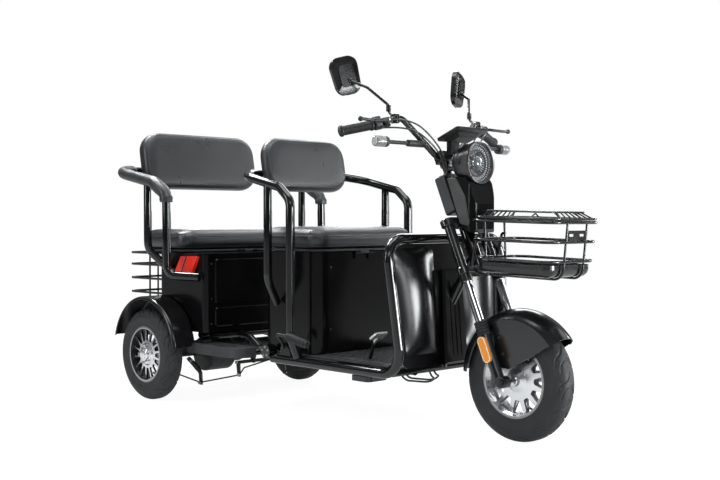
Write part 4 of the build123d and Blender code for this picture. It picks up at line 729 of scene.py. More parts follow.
# ---- Side lamps ----------------------------------------------------------
# Clear red acrylic lenses on the rear box, split by a slanting black web and
# ribbed inside to spread the light.
lamp_red = new_finish("red_lens", Roughness=0.10, Specular_IOR_Level=0.5)
red = lamp_red.node_tree
WEB_SLANT = 0.55
WEB_AT = 0.569 + WEB_SLANT * 0.590
place = shader_node(red, "SeparateXYZ", {0: place_on(red)}).outputs
slant = worked_out(red, "MULTIPLY_ADD", place["Z"], WEB_SLANT, place["Y"])
off_web = worked_out(red, "ABSOLUTE", worked_out(red, "SUBTRACT", slant, WEB_AT))
clear_of_web = share_between(red, off_web, 0.0030, 0.0045, soft=True)
rib_line = shader_node(red, "CombineXYZ", {"X": slant}).outputs[0]
rib = shader_node(red, "TexWave", {"Scale": 34.0, "Vector": rib_line}, bands_direction="X").outputs["Fac"]
ribbed = ramp(red, rib, ((0.15, (0.42, 0.006, 0.003)), (0.75, (0.86, 0.030, 0.010))))
drive(lamp_red, "Base Color", blend_colour(red, clear_of_web, (0.020, 0.002, 0.002, 1.0), ribbed))
relief(lamp_red, rib, 0.0012, 0.5)
dress(lamp_red, "side_lamps")

# ---- Rear rack -----------------------------------------------------------
# Rack of bent rod behind the rear box, welded to two uprights, in the same
# gloss black as the tubes.
dress(tube_paint, "rear_rack")

# ---- Cushions ------------------------------------------------------------
# Cut foam on a tray, covered in charcoal leatherette with a welt sewn where
# top and side panels meet.  The foam fills the cover, so each face is crowned
# and the corners stay round.
leatherette = clouded_finish(
    "charcoal_leatherette", 11.0, (0.26, 0.38), (0.009, 0.0105, 0.012), (0.014, 0.0155, 0.0175),
    Specular_IOR_Level=0.45,
)


def hide_cells(tree, scale):
    """Distance from the folds between the small cells of a hide."""
    inputs = {"Scale": scale, "Vector": place_on(tree)}
    return shader_node(tree, "TexVoronoi", inputs, feature="DISTANCE_TO_EDGE").outputs["Distance"]


hide = leatherette.node_tree
relief(leatherette, share_between(hide, hide_cells(hide, 520.0), 0.0, 0.25), 0.0005, 0.30)
grain(leatherette, 60.0, 0.0015, 0.12)
welt_cover = clouded_finish(
    "welt_leatherette", 90.0, (0.32, 0.5), (0.017, 0.017, 0.019), (0.030, 0.030, 0.032),
    (700.0, 0.0005, 0.4), Specular_IOR_Level=0.45,
)

VOXEL = 0.0075
ROUND_OVER_STEPS = 10
CLOTH_STEPS = 20
EASE_PASSES = 14


def round_cornered(half_u, half_v, corner, reach, steps):
    """Points round a rectangle with corner arcs of a given reach, and the outward direction at each."""
    points = []
    for quarter, (sign_u, sign_v) in enumerate(((1, 1), (-1, 1), (-1, -1), (1, -1))):
        for k in range(steps + 1):
            angle = math.pi / 2 * (quarter + k / steps)
            out = (math.cos(angle), math.sin(angle))
            along_u = sign_u * (half_u - corner) + reach * out[0]
            along_v = sign_v * (half_v - corner) + reach * out[1]
            points.append((along_u, along_v, out))
    return points


def foam_block(name, size, axis, corner, round_over, shrink):
    """A block with a rounded outline seen along one axis and rounded-over faces."""
    half = size / 2 - Vector((shrink, shrink, shrink))
    u, v = [i for i in range(3) if i != axis]
    levels = [(0.0, 0.0)]
    for j in range(2 * ROUND_OVER_STEPS + 1):
        turn = math.pi * j / (2 * ROUND_OVER_STEPS) - math.pi / 2
        if abs(turn) > 1e-6:
            rise = math.sin(turn) * round_over + math.copysign(half[axis] - round_over, turn)
            levels.append((rise, (1 - math.cos(turn)) * round_over))
    rings = []
    for rise, draw in sorted(levels):
        ring = []
        for along_u, along_v, out in round_cornered(half[u], half[v], corner, max(corner - draw, 0.004), 8):
            point = Vector()
            point[u], point[v], point[axis] = along_u, along_v, rise
            ring.append(point)
        rings.append(ring)
    return new_piece(name, skin(name, rings))


def points_of(vertices):
    """The places of a mesh's corners as rows of x, y and z."""
    places = np.empty(len(vertices) * 3)
    vertices.foreach_get("co", places)
    return places.reshape(-1, 3)


def evaluated(piece):
    """A piece as its modifiers leave it."""
    return piece.evaluated_get(bpy.context.evaluated_depsgraph_get())


def blown_up(cushion):
    """Where the cover's points go when air presses it out."""
    cloth = cushion.modifiers.new("cover", "CLOTH").settings
    cloth.use_pressure = True
    cloth.uniform_pressure_force = 4.0
    cloth.effector_weights.gravity = 0.0
    cloth.tension_stiffness = 30.0
    cloth.compression_stiffness = 30.0
    cloth.bending_stiffness = 4.0
    cloth.quality = 4
    for step in range(1, CLOTH_STEPS + 1):
        scene.frame_set(step)
    moved = points_of(evaluated(cushion).data.vertices)
    cushion.modifiers.clear()
    scene.frame_set(1)
    return moved


def stuff(cushion, swell, flat_axis, flat_level, flat_side):
    """Blows the cover up round its foam, then keeps the face it rests on flat."""
    remesh = cushion.modifiers.new("weave", "REMESH")
    remesh.mode = "VOXEL"
    remesh.voxel_size = VOXEL
    bpy.context.view_layer.update()
    shape = bpy.data.meshes.new_from_object(evaluated(cushion))
    cushion.modifiers.clear()
    cushion.data = shape
    start = points_of(shape.vertices)
    count = len(start)
    normals = np.empty(count * 3)
    shape.vertex_normals.foreach_get("vector", normals)
    normals = normals.reshape(-1, 3)
    moved = blown_up(cushion)
    rise = np.clip(((moved - start) * normals).sum(axis=1), 0.0, swell)
    edges = np.empty(len(shape.edges) * 2, dtype=np.int32)
    shape.edges.foreach_get("vertices", edges)
    one, other = edges.reshape(-1, 2).T
    neighbours = np.bincount(edges, minlength=count)
    for _ in range(EASE_PASSES):
        around = np.bincount(one, rise[other], count) + np.bincount(other, rise[one], count)
        rise = 0.5 * rise + 0.5 * around / neighbours
    final = start + normals * rise[:, None]
    keep = np.maximum if flat_side < 0 else np.minimum
    final[:, flat_axis] = keep(final[:, flat_axis], flat_level)
    shape.vertices.foreach_set("co", final.ravel())
    shape.polygons.foreach_set("use_smooth", [True] * len(shape.polygons))
    shape.update()
    smooth = cushion.modifiers.new("ease", "SMOOTH")
    smooth.factor = 0.5
    smooth.iterations = 9
    finer = cushion.modifiers.new("finer", "SUBSURF")
    finer.levels = finer.render_levels = 1


def rounded_loop(half_u, half_v, corner, spacing):
    """Evenly spaced points round a rectangle with round corners, with the outward direction at each."""
    points = round_cornered(half_u, half_v, corner, corner, max(int(math.pi / 2 * corner / spacing), 4))
    dense = []
    for (u0, v0, out0), (u1, v1, out1) in zip(points, points[1:] + points[:1]):
        count = max(int(math.hypot(u1 - u0, v1 - v0) / spacing), 1)
        for k in range(count):
            t = k / count
            out = Vector(out0).lerp(Vector(out1), t).normalized()
            dense.append((u0 * (1 - t) + u1 * t, v0 * (1 - t) + v1 * t, out))
    return dense


def round_cord(name, points, radius):
    """A closed cord or bead through the given points."""
    curve = bpy.data.curves.new(name, "CURVE")
    curve.dimensions = "3D"
    curve.bevel_depth = radius
    curve.bevel_resolution = 3
    line = curve.splines.new("POLY")
    line.points.add(len(points) - 1)
    for control, point in zip(line.points, points):
        control.co = (*point, 1.0)
    line.use_cyclic_u = True
    line.use_smooth = True
    curve.use_fill_caps = True
    return new_piece(name, curve)


WELT_SPACING = 0.006
SIDE_SINK, FACE_SINK = 0.0005, 0.0006


def sewn_welt(name, cushion, axis, kind, place, corner, radius, face_side):
    """Welt sunk in the cover: round the sides at a level, or on a face at a distance in from its outline."""
    graph = bpy.context.evaluated_depsgraph_get()
    bpy.context.view_layer.update()
    cover = BVHTree.FromObject(cushion, graph)
    low, high = Vector(cushion.bound_box[0]), Vector(cushion.bound_box[6])
    middle, half = (low + high) / 2, (high - low) / 2
    u, v = [i for i in range(3) if i != axis]
    inset, sink = (place, FACE_SINK) if kind == "face" else (0.0, SIDE_SINK)
    points = []
    for along_u, along_v, out in rounded_loop(half[u] - inset, half[v] - inset, corner, WELT_SPACING):
        start, aim = Vector(), Vector()
        start[u], start[v] = middle[u] + along_u, middle[v] + along_v
        if kind == "face":
            start[axis] = middle[axis] + face_side * (half[axis] + 0.1)
            aim[axis] = -face_side
        else:
            start[axis] = place
            aim[u], aim[v] = -out[0], -out[1]
            start -= aim * 0.08
        hit, normal, face, gap = cover.ray_cast(start, aim, 0.3)
        if hit is not None:
            points.append(hit - normal * sink)
    return round_cord(name, points, radius)


def make_cushion(node, body, size, middle, axis, corner, round_over, swell, flat_side, recline, welts):
    """One cushion made lying square at the origin, with its welts, then set in place."""
    size = Vector(size)
    cushion = foam_block(node + "_cover", size, axis, corner, round_over, swell * 0.7)
    stuff(cushion, swell, axis, flat_side * size[axis] / 2, flat_side)
    pieces = [(cushion, leatherette)]
    for number, (kind, place, loop_corner, radius) in enumerate(welts):
        name = node + "_welt" + ("_" + str(number) if number else "")
        welt = sewn_welt(name, cushion, axis, kind, place, loop_corner, radius, -flat_side)
        pieces.append((welt, welt_cover))
    pose = Matrix.Translation(middle) @ Matrix.Rotation(math.radians(-recline), 4, "X")
    for piece, finish in pieces:
        piece.data.transform(pose)
        fit(piece, finish, body)
    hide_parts(node)


for node, body, edge in (("driver_seat", "driver_seat_lid", 0.034), ("rear_seat", "rear_seat_lid", 0.027)):
    low, high = [Vector(c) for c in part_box(node)]
    size = high - low
    top_seam = ("side", size.z / 2 - edge + 0.002, 0.062, 0.0022)
    foot_seam = ("side", 0.010 - size.z / 2, 0.060, 0.0018)
    make_cushion(node, body, size, (low + high) / 2, 2, 0.062, edge, 0.008, -1, 0.0, (top_seam, foot_seam))

PAD_RECLINE = 11.0
PAD_WELT_INSET = 0.014
for node, size, middle, corner in (
    ("driver_backrest", (0.430, 0.062, 0.222), (0.0, 0.2470, 0.952), 0.078),
    ("rear_backrest", (0.608, 0.070, 0.254), (0.0, 0.9588, 0.990), 0.084),
):
    seam = ("face", PAD_WELT_INSET, corner - PAD_WELT_INSET, 0.0018)
    make_cushion(node, "chassis", size, middle, 1, corner, 0.020, 0.006, 1, PAD_RECLINE, (seam,))

# ---- Arm hoops and armrest sleeves ---------------------------------------
# Bent tube hoops carry the backrests.  The rear one wears long foam sleeves
# in black leatherette, swollen at the bend and drawn in by a stitched collar.
dress(tube_paint, "driver_hoop", "rear_hoop")
sleeve_hide = clouded_finish(
    "sleeve_leatherette", 24.0, (0.32, 0.50), (0.012, 0.0125, 0.014), (0.022, 0.0225, 0.024),
    Specular_IOR_Level=0.45,
)
relief(sleeve_hide, hide_cells(sleeve_hide.node_tree, 460.0), 0.0006, 0.4)
grain(sleeve_hide, 38.0, 0.0025, 0.22)

SLEEVE_CORNERS = (
    (-0.416, 0.607, 0.806),
    (-0.416, 0.607, 0.838),
    (-0.416, 0.697, 0.888),
    (-0.416, 1.004, 0.945),
    (-0.266, 1.004, 0.945),
)
SLEEVE_BEND_R = (0.052, 0.040, 0.118)
SLEEVE_INNER_END = 0.306
COLLAR_AT = (0.416, 0.607)
STITCH_ROWS, STITCHES, STITCH_REACH = (0.8105, 0.8215), 22, 0.0266


def bent_line(corners, radii, step):
    """Points along straight runs joined by arcs of the given radii."""
    points = [Vector(corners[0])]
    for before, corner, after, radius in zip(corners, corners[1:], corners[2:], radii):
        before, corner, after = Vector(before), Vector(corner), Vector(after)
        a, b = (before - corner).normalized(), (after - corner).normalized()
        half_angle = a.angle(b) / 2
        longest = 0.98 * min((before - corner).length, (after - corner).length)
        run = min(radius / math.tan(half_angle), longest)
        radius = run * math.tan(half_angle)
        centre = corner + (a + b).normalized() * (radius / math.sin(half_angle))
        start, end = corner + a * run - centre, corner + b * run - centre
        sweep = start.angle(end)
        beside = (end - start * (start.dot(end) / radius**2)).normalized() * radius
        count = max(int(radius * sweep / step), 3)
        for k in range(count + 1):
            turn = sweep * k / count
            points.append(centre + start * math.cos(turn) + beside * math.sin(turn))
    points.append(Vector(corners[-1]))
    dense = [points[0]]
    for a, b in zip(points, points[1:]):
        gap = (b - a).length
        if gap > 1e-5:
            count = max(int(gap / step), 1)
            dense += [a.lerp(b, k / count) for k in range(1, count + 1)]
    return dense


def stocking(name, line, radius_at, sides=28):
    """A round skin along a line whose radius changes along it and round it."""
    lengths = [0.0]
    for a, b in zip(line, line[1:]):
        lengths.append(lengths[-1] + (b - a).length)
    across = (line[1] - line[0]).orthogonal().normalized()
    rings = []
    for i, point in enumerate(line):
        along = (line[min(i + 1, len(line) - 1)] - line[max(i - 1, 0)]).normalized()
        across = (across - along * across.dot(along)).normalized()
        up = along.cross(across)
        ring = []
        for k in range(sides):
            angle = 2 * math.pi * k / sides
            radius = radius_at(lengths[i], lengths[-1], angle)
            ring.append(point + (across * math.cos(angle) + up * math.sin(angle)) * radius)
        rings.append(ring)
    return new_piece(name, skin(name, rings, smooth=True))


def hump(run, at, spread):
    """A soft hump that is 1 where the run reaches a place."""
    return math.exp(-(((run - at) / spread) ** 2))


def sleeve_radius(run, total, angle):
    """Collar, swollen bend, even arm and a drawn-in back end."""
    collar = 0.0030 * hump(run, 0.013, 0.009) - 0.0016 * hump(run, 0.0245, 0.003)
    swell = 0.0040 * hump(run, 0.085, 0.050)
    gather = 0.0006 * math.cos(9 * angle) * hump(run, 0.030, 0.016)
    back = min(max((total - run) / 0.020, 0.0), 1.0)
    return 0.0186 + 0.0052 * math.sqrt(back) + collar + swell + gather


for side, hand in HANDS:
    line = bent_line([(-side * x, y, z) for x, y, z in SLEEVE_CORNERS], SLEEVE_BEND_R, 0.006)
    line = [point for point in line if abs(point.x) > SLEEVE_INNER_END]
    sleeve = stocking("armrest_sleeve_" + hand, line, sleeve_radius)
    fit(sleeve, sleeve_hide, "chassis", "armrest_pads")
    for height in STITCH_ROWS:
        stitches = bmesh.new()
        for k in range(STITCHES):
            angle = 2 * math.pi * k / STITCHES
            x = side * COLLAR_AT[0] + STITCH_REACH * math.cos(angle)
            y = COLLAR_AT[1] + STITCH_REACH * math.sin(angle)
            pose = Matrix.Translation((x, y, height)) @ Matrix.Rotation(angle, 4, "Z")
            bead = bmesh.ops.create_uvsphere(stitches, u_segments=6, v_segments=4, radius=0.001)
            stretch = Matrix.Diagonal((0.9, 2.1, 0.9, 1.0))
            bmesh.ops.transform(stitches, matrix=pose @ stretch, verts=bead["verts"])
        name = "collar_stitches_" + hand + "_" + str(int(height * 10000))
        fit(new_piece(name, closed_mesh(name, stitches)), welt_cover, "chassis")

# ---- Fork ----------------------------------------------------------------
# Hard-chromed stanchions slide in black-painted legs under moulded rubber
# boots.  An amber reflector in a pale frame is screwed to each leg.
chrome = clouded_finish(
    "hard_chrome", 30.0, (0.04, 0.11), (0.62, 0.63, 0.65), (0.70, 0.71, 0.73),
    (400.0, 0.0002, 0.06), Metallic=1.0,
)
fork_paint = clouded_finish(
    "fork_paint", 14.0, (0.12, 0.24), (0.0045, 0.0045, 0.005), (0.009, 0.009, 0.0095),
    (500.0, 0.0004, 0.10), Specular_IOR_Level=0.50,
)
boot_rubber = clouded_finish(
    "boot_rubber", 60.0, (0.48, 0.68), (0.011, 0.011, 0.0115), (0.020, 0.020, 0.0205),
    (1200.0, 0.0004, 0.3), Specular_IOR_Level=0.30,
)
pale_frame = clouded_finish(
    "pale_frame", 80.0, (0.16, 0.30), (0.56, 0.45, 0.27), (0.70, 0.60, 0.42),
    (500.0, 0.0002, 0.2), Specular_IOR_Level=0.5,
)
amber_lens = new_finish("amber_lens", Roughness=0.12, Specular_IOR_Level=0.5)
amber = amber_lens.node_tree
prism_inputs = {"Scale": 300.0, "Randomness": 0.0, "Vector": place_on(amber)}
prism = shader_node(amber, "TexVoronoi", prism_inputs).outputs["Distance"]
prism_shades = ((0.10, (0.92, 0.36, 0.020)), (0.62, (0.62, 0.17, 0.006)))
drive(amber_lens, "Base Color", ramp(amber, prism, prism_shades))
relief(amber_lens, prism, 0.0008, 0.6)
dress(chrome, "fork_stanchions")
dress(fork_paint, "fork_legs", "fork_clamps", "handlebar")
dress(boot_rubber, "fork_boots")
dress(amber_lens, "fork_reflectors")

RAKE = math.radians(23.5)
UP_FORK = Vector((0.0, math.sin(RAKE), math.cos(RAKE)))
BACK_OF_FORK = Vector((0.0, math.cos(RAKE), -math.sin(RAKE)))
AXLE = Vector((0.0, -0.839, 0.2055))
REFLECTOR_HALF_LONG, REFLECTOR_HALF_WIDE = 0.0425, 0.0135
FENDER_BOLTS = ((-0.801, 0.346), (-0.817, 0.294))
AXLE_CAP = ((0.0075, -0.002), (0.0085, 0.001), (0.0070, 0.0035), (0.001, 0.0042))


def slot_outline(middle, half_long, half_wide):
    """Points round a slot that lies along the fork."""
    points = []
    for end in (1, -1):
        for k in range(13):
            angle = math.pi * k / 12
            along = end * (half_long - half_wide + half_wide * math.sin(angle))
            points.append(middle + UP_FORK * along + BACK_OF_FORK * (end * half_wide * math.cos(angle)))
    return points


for side, hand in HANDS:
    low, high = [Vector(c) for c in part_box("fork_reflectors")]
    face = (low + high) / 2
    face.x = (low.x if side < 0 else high.x) + side * 0.0004
    outline = slot_outline(face, REFLECTOR_HALF_LONG, REFLECTOR_HALF_WIDE)
    bead = round_cord("reflector_frame_" + hand, outline, 0.0021)
    fit(bead, pale_frame, "steering")
    for number, (y, z) in enumerate(FENDER_BOLTS):
        seat, facing = touch("front_fender", (side * 0.3, y, z), (-side, 0, 0))
        dome_head("fender_bolt_" + str(number) + "_" + hand, seat, facing, 0.0055, "steering")
    low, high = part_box("front_axle")
    seat = ((low[0] if side < 0 else high[0]) - side * 0.002, AXLE.y, AXLE.z)
    turned_piece("axle_end_" + hand, AXLE_CAP, seat, (side, 0, 0), black_bolt, "steering")

# ---- Grips, levers and switches ------------------------------------------
# Ribbed rubber grips, black die-cast levers on their perches, and moulded
# switch pods with coloured push buttons facing the rider.
BAR_TIP = Vector((-0.400, -0.398, 1.032))
BAR_IN = (Vector((-0.270, -0.445, 1.062)) - BAR_TIP).normalized()
BAR_REAR = Vector((-BAR_IN.y, BAR_IN.x, 0.0)).normalized()
BAR_UP = BAR_IN.cross(BAR_REAR)
grip_rubber = clouded_finish(
    "grip_rubber", 70.0, (0.50, 0.70), (0.006, 0.006, 0.0065), (0.011, 0.011, 0.0115),
    (1300.0, 0.0004, 0.3), Specular_IOR_Level=0.30,
)
button_red = clouded_finish(
    "button_red", 120.0, (0.28, 0.45), (0.48, 0.010, 0.008), (0.62, 0.022, 0.014), Specular_IOR_Level=0.4
)
button_green = clouded_finish(
    "button_green", 120.0, (0.28, 0.45), (0.015, 0.18, 0.05), (0.028, 0.27, 0.08), Specular_IOR_Level=0.4
)
button_grey = clouded_finish(
    "button_grey", 120.0, (0.34, 0.52), (0.18, 0.18, 0.19), (0.27, 0.27, 0.28), Specular_IOR_Level=0.4
)
dress(chassis_paint, "brake_levers")
dress(moulded, "switch_pods", "signal_stalks")


def beside_bar(rear, up, inward, side):
    """A point in millimetres from a bar end: to the rear, up, and in along the bar."""
    point = BAR_TIP + (BAR_REAR * rear + BAR_UP * up + BAR_IN * inward) / 1000.0
    return Vector((side * point.x, point.y, point.z))


def grip_radius(run, total, angle):
    """End collars and round ribs, cut through by four long flutes."""
    edge = min(run, total - run)
    if edge < 0.008:
        return 0.0195 if edge > 0.0016 else 0.0178
    flute = 0.5 + 0.5 * math.cos(4 * angle)
    rib = 0.5 + 0.5 * math.cos(2 * math.pi * run / 0.0052)
    return 0.0155 + 0.0014 * rib * (1.0 - 0.75 * max(flute - 0.75, 0.0) * 4)


PUSH_BUTTON = ((0.0052, -0.001), (0.0052, 0.0018), (0.0044, 0.0030), (0.0020, 0.0034), (0.0004, 0.0034))
BUTTON_HEIGHTS, BUTTONS_IN = (17, 5), 137
PERCH_BOLT_HEIGHTS, PERCH_IN = (-7, 7), 168
for (side, hand), colours in zip(HANDS, ((button_red, button_grey), (button_green, button_grey))):
    line = [beside_bar(0, 0, inward, side) for inward in np.linspace(-4, 118, 150)]
    fit(stocking("grip_" + hand, line, grip_radius, 32), grip_rubber, "steering", "grips")
    for number, (height, finish) in enumerate(zip(BUTTON_HEIGHTS, colours)):
        start = beside_bar(60, height, BUTTONS_IN, side)
        aim = beside_bar(0, height, BUTTONS_IN, side) - start
        seat, facing = touch("switch_pods", start, aim)
        name = "push_button_" + str(number) + "_" + hand
        turned_piece(name, PUSH_BUTTON, seat, -aim, finish, "steering")
    for number, height in enumerate(PERCH_BOLT_HEIGHTS):
        start = beside_bar(-60, height, PERCH_IN, side)
        aim = beside_bar(0, height, PERCH_IN, side) - start
        seat, facing = touch("brake_levers", start, aim)
        hex_head("perch_bolt_" + str(number) + "_" + hand, seat, facing, 0.006, "steering")

# ---- Mirrors -------------------------------------------------------------
# Gloss black moulded heads on bent steel rods, each holding a silvered pane
# that is pressed in from the rider's side.
mirror_shell = clouded_finish(
    "mirror_shell", 10.0, (0.14, 0.24), (0.0045, 0.0045, 0.005), (0.008, 0.008, 0.0085),
    (1200.0, 0.0002, 0.1), Specular_IOR_Level=0.45,
)
silvered = clouded_finish(
    "silvered_glass", 3.0, (0.010, 0.030), (0.78, 0.80, 0.82), (0.82, 0.84, 0.86),
    (6.0, 0.0003, 0.02), Metallic=1.0,
)
dress(mirror_shell, "mirrors")
dress(silvered, "mirror_glass")

# ---- Turn signals --------------------------------------------------------
# Clear acrylic lenses, fluted inside, screwed to moulded stalks; the unlit
# lamp behind them shows grey.
signal_clear = new_finish("signal_lens", Roughness=0.14, Specular_IOR_Level=0.5)
lens = signal_clear.node_tree
flute_inputs = {"Scale": 55.0, "Vector": place_on(lens)}
flutes = shader_node(lens, "TexWave", flute_inputs, bands_direction="X").outputs["Fac"]
flute_shades = ((0.2, (0.10, 0.10, 0.105)), (0.8, (0.34, 0.34, 0.34)))
drive(signal_clear, "Base Color", ramp(lens, flutes, flute_shades))
relief(signal_clear, flutes, 0.001, 0.5)
dress(signal_clear, "signal_lenses")

# ---- Headlamp ------------------------------------------------------------
# Round black shell and bezel with a domed clear lens.  In its dark bowl,
# coloured darker still deeper in as painted shade, stand bright fins round a
# projector, with two rings of small light cells at the rim.
LAMP = Vector((0.0, -0.671, 0.930))
shell_black = clouded_finish(
    "lamp_shell", 12.0, (0.28, 0.38), (0.005, 0.005, 0.0065), (0.010, 0.010, 0.012),
    (900.0, 0.0003, 0.12), Specular_IOR_Level=0.60,
)
clear_lens = clouded_finish(
    "clear_lens", 12.0, (0.03, 0.06), (0.80, 0.82, 0.84), (0.86, 0.88, 0.90),
    (90.0, 0.0003, 0.1), Specular_IOR_Level=0.25, Alpha=0.03,
)
cell_white = clouded_finish(
    "light_cell", 200.0, (0.16, 0.28), (0.84, 0.86, 0.87), (0.94, 0.96, 0.96),
    (500.0, 0.0002, 0.2), Specular_IOR_Level=0.7,
)
projector_glass = clouded_finish(
    "projector_glass", 25.0, (0.02, 0.05), (0.07, 0.09, 0.10), (0.14, 0.17, 0.19),
    (40.0, 0.0006, 0.1), Metallic=0.35, Specular_IOR_Level=1.0,
)
dark_bowl = new_finish("reflector_bowl", Roughness=0.30, Metallic=0.3)
bowl = dark_bowl.node_tree
depth = shader_node(bowl, "SeparateXYZ", {0: place_on(bowl)}).outputs["Y"]
# Painted shade: the bowl's colour darkens further behind the bezel.
recess_painted_shade = share_between(bowl, depth, LAMP.y + 0.0215, LAMP.y + 0.0265)
bowl_painted_shade = blend_colour(bowl, recess_painted_shade, (0.030, 0.031, 0.033, 1.0), (0.004, 0.004, 0.005, 1.0))
drive(dark_bowl, "Base Color", bowl_painted_shade)
grain(dark_bowl, 300.0, 0.0004, 0.3)
dress(shell_black, "headlamp_shell")
dress(dark_bowl, "headlamp_reflector")
dress(clear_lens, "headlamp_lens")

# Each ring of cells and each step of a fin: reach from the middle, depth
# behind the bezel, and the radius or half width there.
CELLS = 44
CELL_RINGS = ((0.0578, 0.0225, 0.0023), (0.0625, 0.0150, 0.0017))
FINS = 32
FIN_STEPS = (
    (0.0265, 0.0235, 0.0009), (0.036, 0.0225, 0.0013), (0.046, 0.0215, 0.0017), (0.0545, 0.0200, 0.0019),
)
FIN_SECTION = ((-1, 0.0035), (-0.5, 0.0), (0.5, 0.0), (1, 0.0035))
PROJECTOR_R, DOME_RISE = 0.0195, 0.0115
PROJECTOR_DOME = [(PROJECTOR_R, -0.004)]
PROJECTOR_DOME += [(PROJECTOR_R * math.cos(t), DOME_RISE * math.sin(t)) for t in np.linspace(0.0, 1.5, 10)]
PROJECTOR_RING = (
    (0.0238, -0.004), (0.0238, 0.004), (0.0225, 0.0056), (0.0205, 0.0050), (0.0198, 0.001), (0.0198, -0.004),
)


def in_lamp(angle, reach, depth):
    """A point in the lamp at an angle and reach from its middle and a depth from its face."""
    return LAMP + Vector((reach * math.cos(angle), depth, reach * math.sin(angle)))


cells = bmesh.new()
for ring_number, (reach, depth, radius) in enumerate(CELL_RINGS):
    for k in range(CELLS):
        angle = 2 * math.pi * (k + 0.5 * ring_number) / CELLS
        ball = bmesh.ops.create_uvsphere(cells, u_segments=10, v_segments=6, radius=radius)
        bmesh.ops.translate(cells, verts=ball["verts"], vec=in_lamp(angle, reach, depth))
cells = closed_mesh("light_cells", cells, smooth=True)
fit(new_piece("light_cells", cells), cell_white, "steering")

fins = bmesh.new()
for k in range(FINS):
    angle = 2 * math.pi * (k + 0.5) / FINS
    across = Vector((-math.sin(angle), 0, math.cos(angle)))
    rows = []
    for reach, depth, half in FIN_STEPS:
        spots = [in_lamp(angle, reach, depth + sink) + across * (share * half) for share, sink in FIN_SECTION]
        rows.append([fins.verts.new(spot) for spot in spots])
    for inner, outer in zip(rows, rows[1:]):
        for a in range(3):
            fins.faces.new((inner[a], inner[a + 1], outer[a + 1], outer[a]))
fit(new_piece("reflector_fins", closed_mesh("reflector_fins", fins)), cell_white, "steering")

FORWARD = (0, -1, 0)
seat = LAMP + Vector((0, 0.0165, 0))
turned_piece("projector_lens", PROJECTOR_DOME, seat, FORWARD, projector_glass, "steering", sides=32)
seat = LAMP + Vector((0, 0.021, 0))
turned_piece("projector_ring", PROJECTOR_RING, seat, FORWARD, chrome, "steering", sides=40)
for side, hand in HANDS:
    seat, facing = touch("headlamp_shell", LAMP + Vector((side * 0.3, 0.040, 0)), (-side, 0, 0))
    hex_head("lamp_bolt_" + hand, seat, facing, 0.009, "steering", black_bolt)

# ---- Instrument and column cover -----------------------------------------
# Flat instrument in a black housing with a dark glass over plain light bars.
# The column cover is gloss black, with a grained grey strip on each side.
housing = clouded_finish(
    "instrument_housing", 30.0, (0.34, 0.50), (0.003, 0.003, 0.0035), (0.006, 0.006, 0.0065),
    Specular_IOR_Level=0.18,
)
case = housing.node_tree
top_shade = case.nodes["Principled BSDF"].inputs["Base Color"].links[0].from_socket
tilt = shader_node(case, "SeparateXYZ", {0: place_on(case, "Normal")}).outputs["Z"]
# Painted light: faces turned down are coloured lighter than the top of the housing.
underside_painted_light = share_between(case, tilt, -0.35, -0.75)
drive(housing, "Base Color", blend_colour(case, underside_painted_light, top_shade, (0.014, 0.015, 0.0145, 1.0)))
grain(housing, 1200.0, 0.0004, 0.3)
strip_grey = clouded_finish(
    "grained_strip", 40.0, (0.40, 0.58), (0.027, 0.029, 0.028), (0.044, 0.046, 0.045),
    (900.0, 0.0012, 0.5), Specular_IOR_Level=0.35,
)
screen_glass = clouded_finish(
    "screen_glass", 8.0, (0.04, 0.09), (0.004, 0.006, 0.008), (0.009, 0.011, 0.013),
    (20.0, 0.0003, 0.04), Specular_IOR_Level=0.6,
)
screen_mark = clouded_finish(
    "screen_mark", 100.0, (0.24, 0.36), (0.30, 0.34, 0.34), (0.40, 0.44, 0.44),
    (400.0, 0.0002, 0.1), Specular_IOR_Level=0.5,
)
dress(housing, "display")
dress(shell_black, "key_box")
dress(panel_gloss, "column_cover")
dress(strip_grey, "cover_panels")

SCREEN = Matrix.Translation((0.0, -0.587, 1.031)) @ Matrix.Rotation(math.radians(-22.0), 4, "X")
BAR_HALVES, DIGIT_HALVES = (0.0030, 0.006), (0.0085, 0.0012)
BAR_PITCH, DIGIT_PITCH = 0.012, 0.022


def tablet(name, halves, corner, low, high, bevel, middle, finish):
    """A thin rounded plate lying in the instrument's top, with a bevelled edge."""
    rings = []
    for inset, height in ((0.0, low), (0.0, high - bevel), (bevel, high)):
        outline = round_cornered(*halves, corner, corner - inset, 6)
        rings.append([SCREEN @ Vector((middle[0] + u, middle[1] + v, height)) for u, v, out in outline])
    fit(new_piece(name, skin(name, rings)), finish, "steering")


def light_mark(name, halves, x, y):
    """A bar of light just proud of the dark glass."""
    tablet(name, halves, 0.0010, 0.0055, 0.0062, 0.0002, (x, y), screen_mark)


tablet("screen", (0.070, 0.040), 0.008, 0.0040, 0.0058, 0.0007, (0, 0), screen_glass)
for k in range(7):
    light_mark("screen_bar_" + str(k), BAR_HALVES, -0.036 + BAR_PITCH * k, 0.020)
for k in range(2):
    light_mark("screen_digit_" + str(k), DIGIT_HALVES, -0.011 + DIGIT_PITCH * k, -0.004)
    light_mark("screen_digit_low_" + str(k), DIGIT_HALVES, -0.011 + DIGIT_PITCH * k, -0.022)

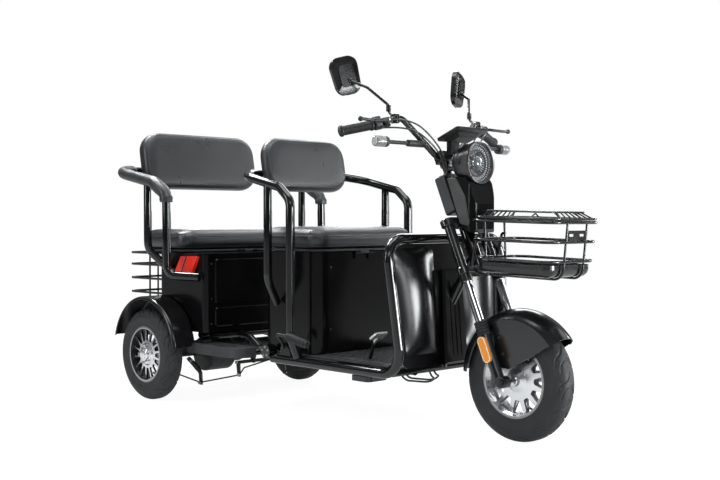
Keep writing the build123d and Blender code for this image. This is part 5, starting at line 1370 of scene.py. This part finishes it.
HEAD_AXIS_FOOT = AXLE + Vector((0.0, 0.017, 0.0))
KEY_Z = 0.846
KEY_BARREL = (
    (0.013, -0.001), (0.013, 0.003), (0.0115, 0.0055), (0.0085, 0.0060), (0.0082, 0.0040), (0.0005, 0.0038),
)
start = HEAD_AXIS_FOOT + UP_FORK * (KEY_Z - AXLE.z) / math.cos(RAKE) + BACK_OF_FORK * 0.4
seat, facing = touch("key_box", start, -BACK_OF_FORK)
turned_piece("key_barrel", KEY_BARREL, seat, BACK_OF_FORK, bare_steel, "steering", sides=32)

# ---- Basket --------------------------------------------------------------
# Welded wire basket with a domed rod lid and a pressed tray, dipped in gloss
# black.
wire_paint = clouded_finish(
    "gloss_wire_paint", 14.0, (0.14, 0.26), (0.0045, 0.0045, 0.005), (0.009, 0.009, 0.0095),
    (500.0, 0.0004, 0.10), Specular_IOR_Level=0.42,
)
dress(wire_paint, "basket", "basket_lid", "basket_tray")

# ---- Pedals --------------------------------------------------------------
# Brake pedal with a plated tread plate on a black arm; the parking brake has
# a ribbed rubber sleeve on a bent black lever.
pedal_metal = new_finish("plated_pedal", Roughness=0.28, Metallic=0.9)
pedal = pedal_metal.node_tree
place = shader_node(pedal, "SeparateXYZ", {0: place_on(pedal)}).outputs["Y"]
on_plate = share_between(pedal, place, -0.333, -0.337)
pedal_shade = blend_colour(pedal, on_plate, (0.010, 0.010, 0.010, 1.0), (0.62, 0.62, 0.61, 1.0))
drive(pedal_metal, "Base Color", pedal_shade)
grain(pedal_metal, 500.0, 0.0004, 0.3)
dress(pedal_metal, "brake_pedal")
dress(chassis_paint, "parking_brake")
LEVER_GRIP = (Vector((-0.345, -0.060, 0.3127)), Vector((-0.345, -0.158, 0.2936)))


def lever_sleeve_radius(run, total, angle):
    """Plain ends and round ribs between them."""
    rib = 0.5 + 0.5 * math.cos(2 * math.pi * run / 0.0062)
    edge = min(run, total - run)
    return (0.0132 if edge < 0.0025 else 0.0150) + 0.0012 * rib * (edge > 0.006)


line = [LEVER_GRIP[0].lerp(LEVER_GRIP[1], t) for t in np.linspace(0, 1, 90)]
fit(stocking("parking_brake_sleeve", line, lever_sleeve_radius), grip_rubber, "chassis")

# ---- Seat trays ----------------------------------------------------------
# Flat moulded boards that the seat foams are glued to, hinged at the front.
dress(moulded, "driver_seat_base", "rear_seat_base")
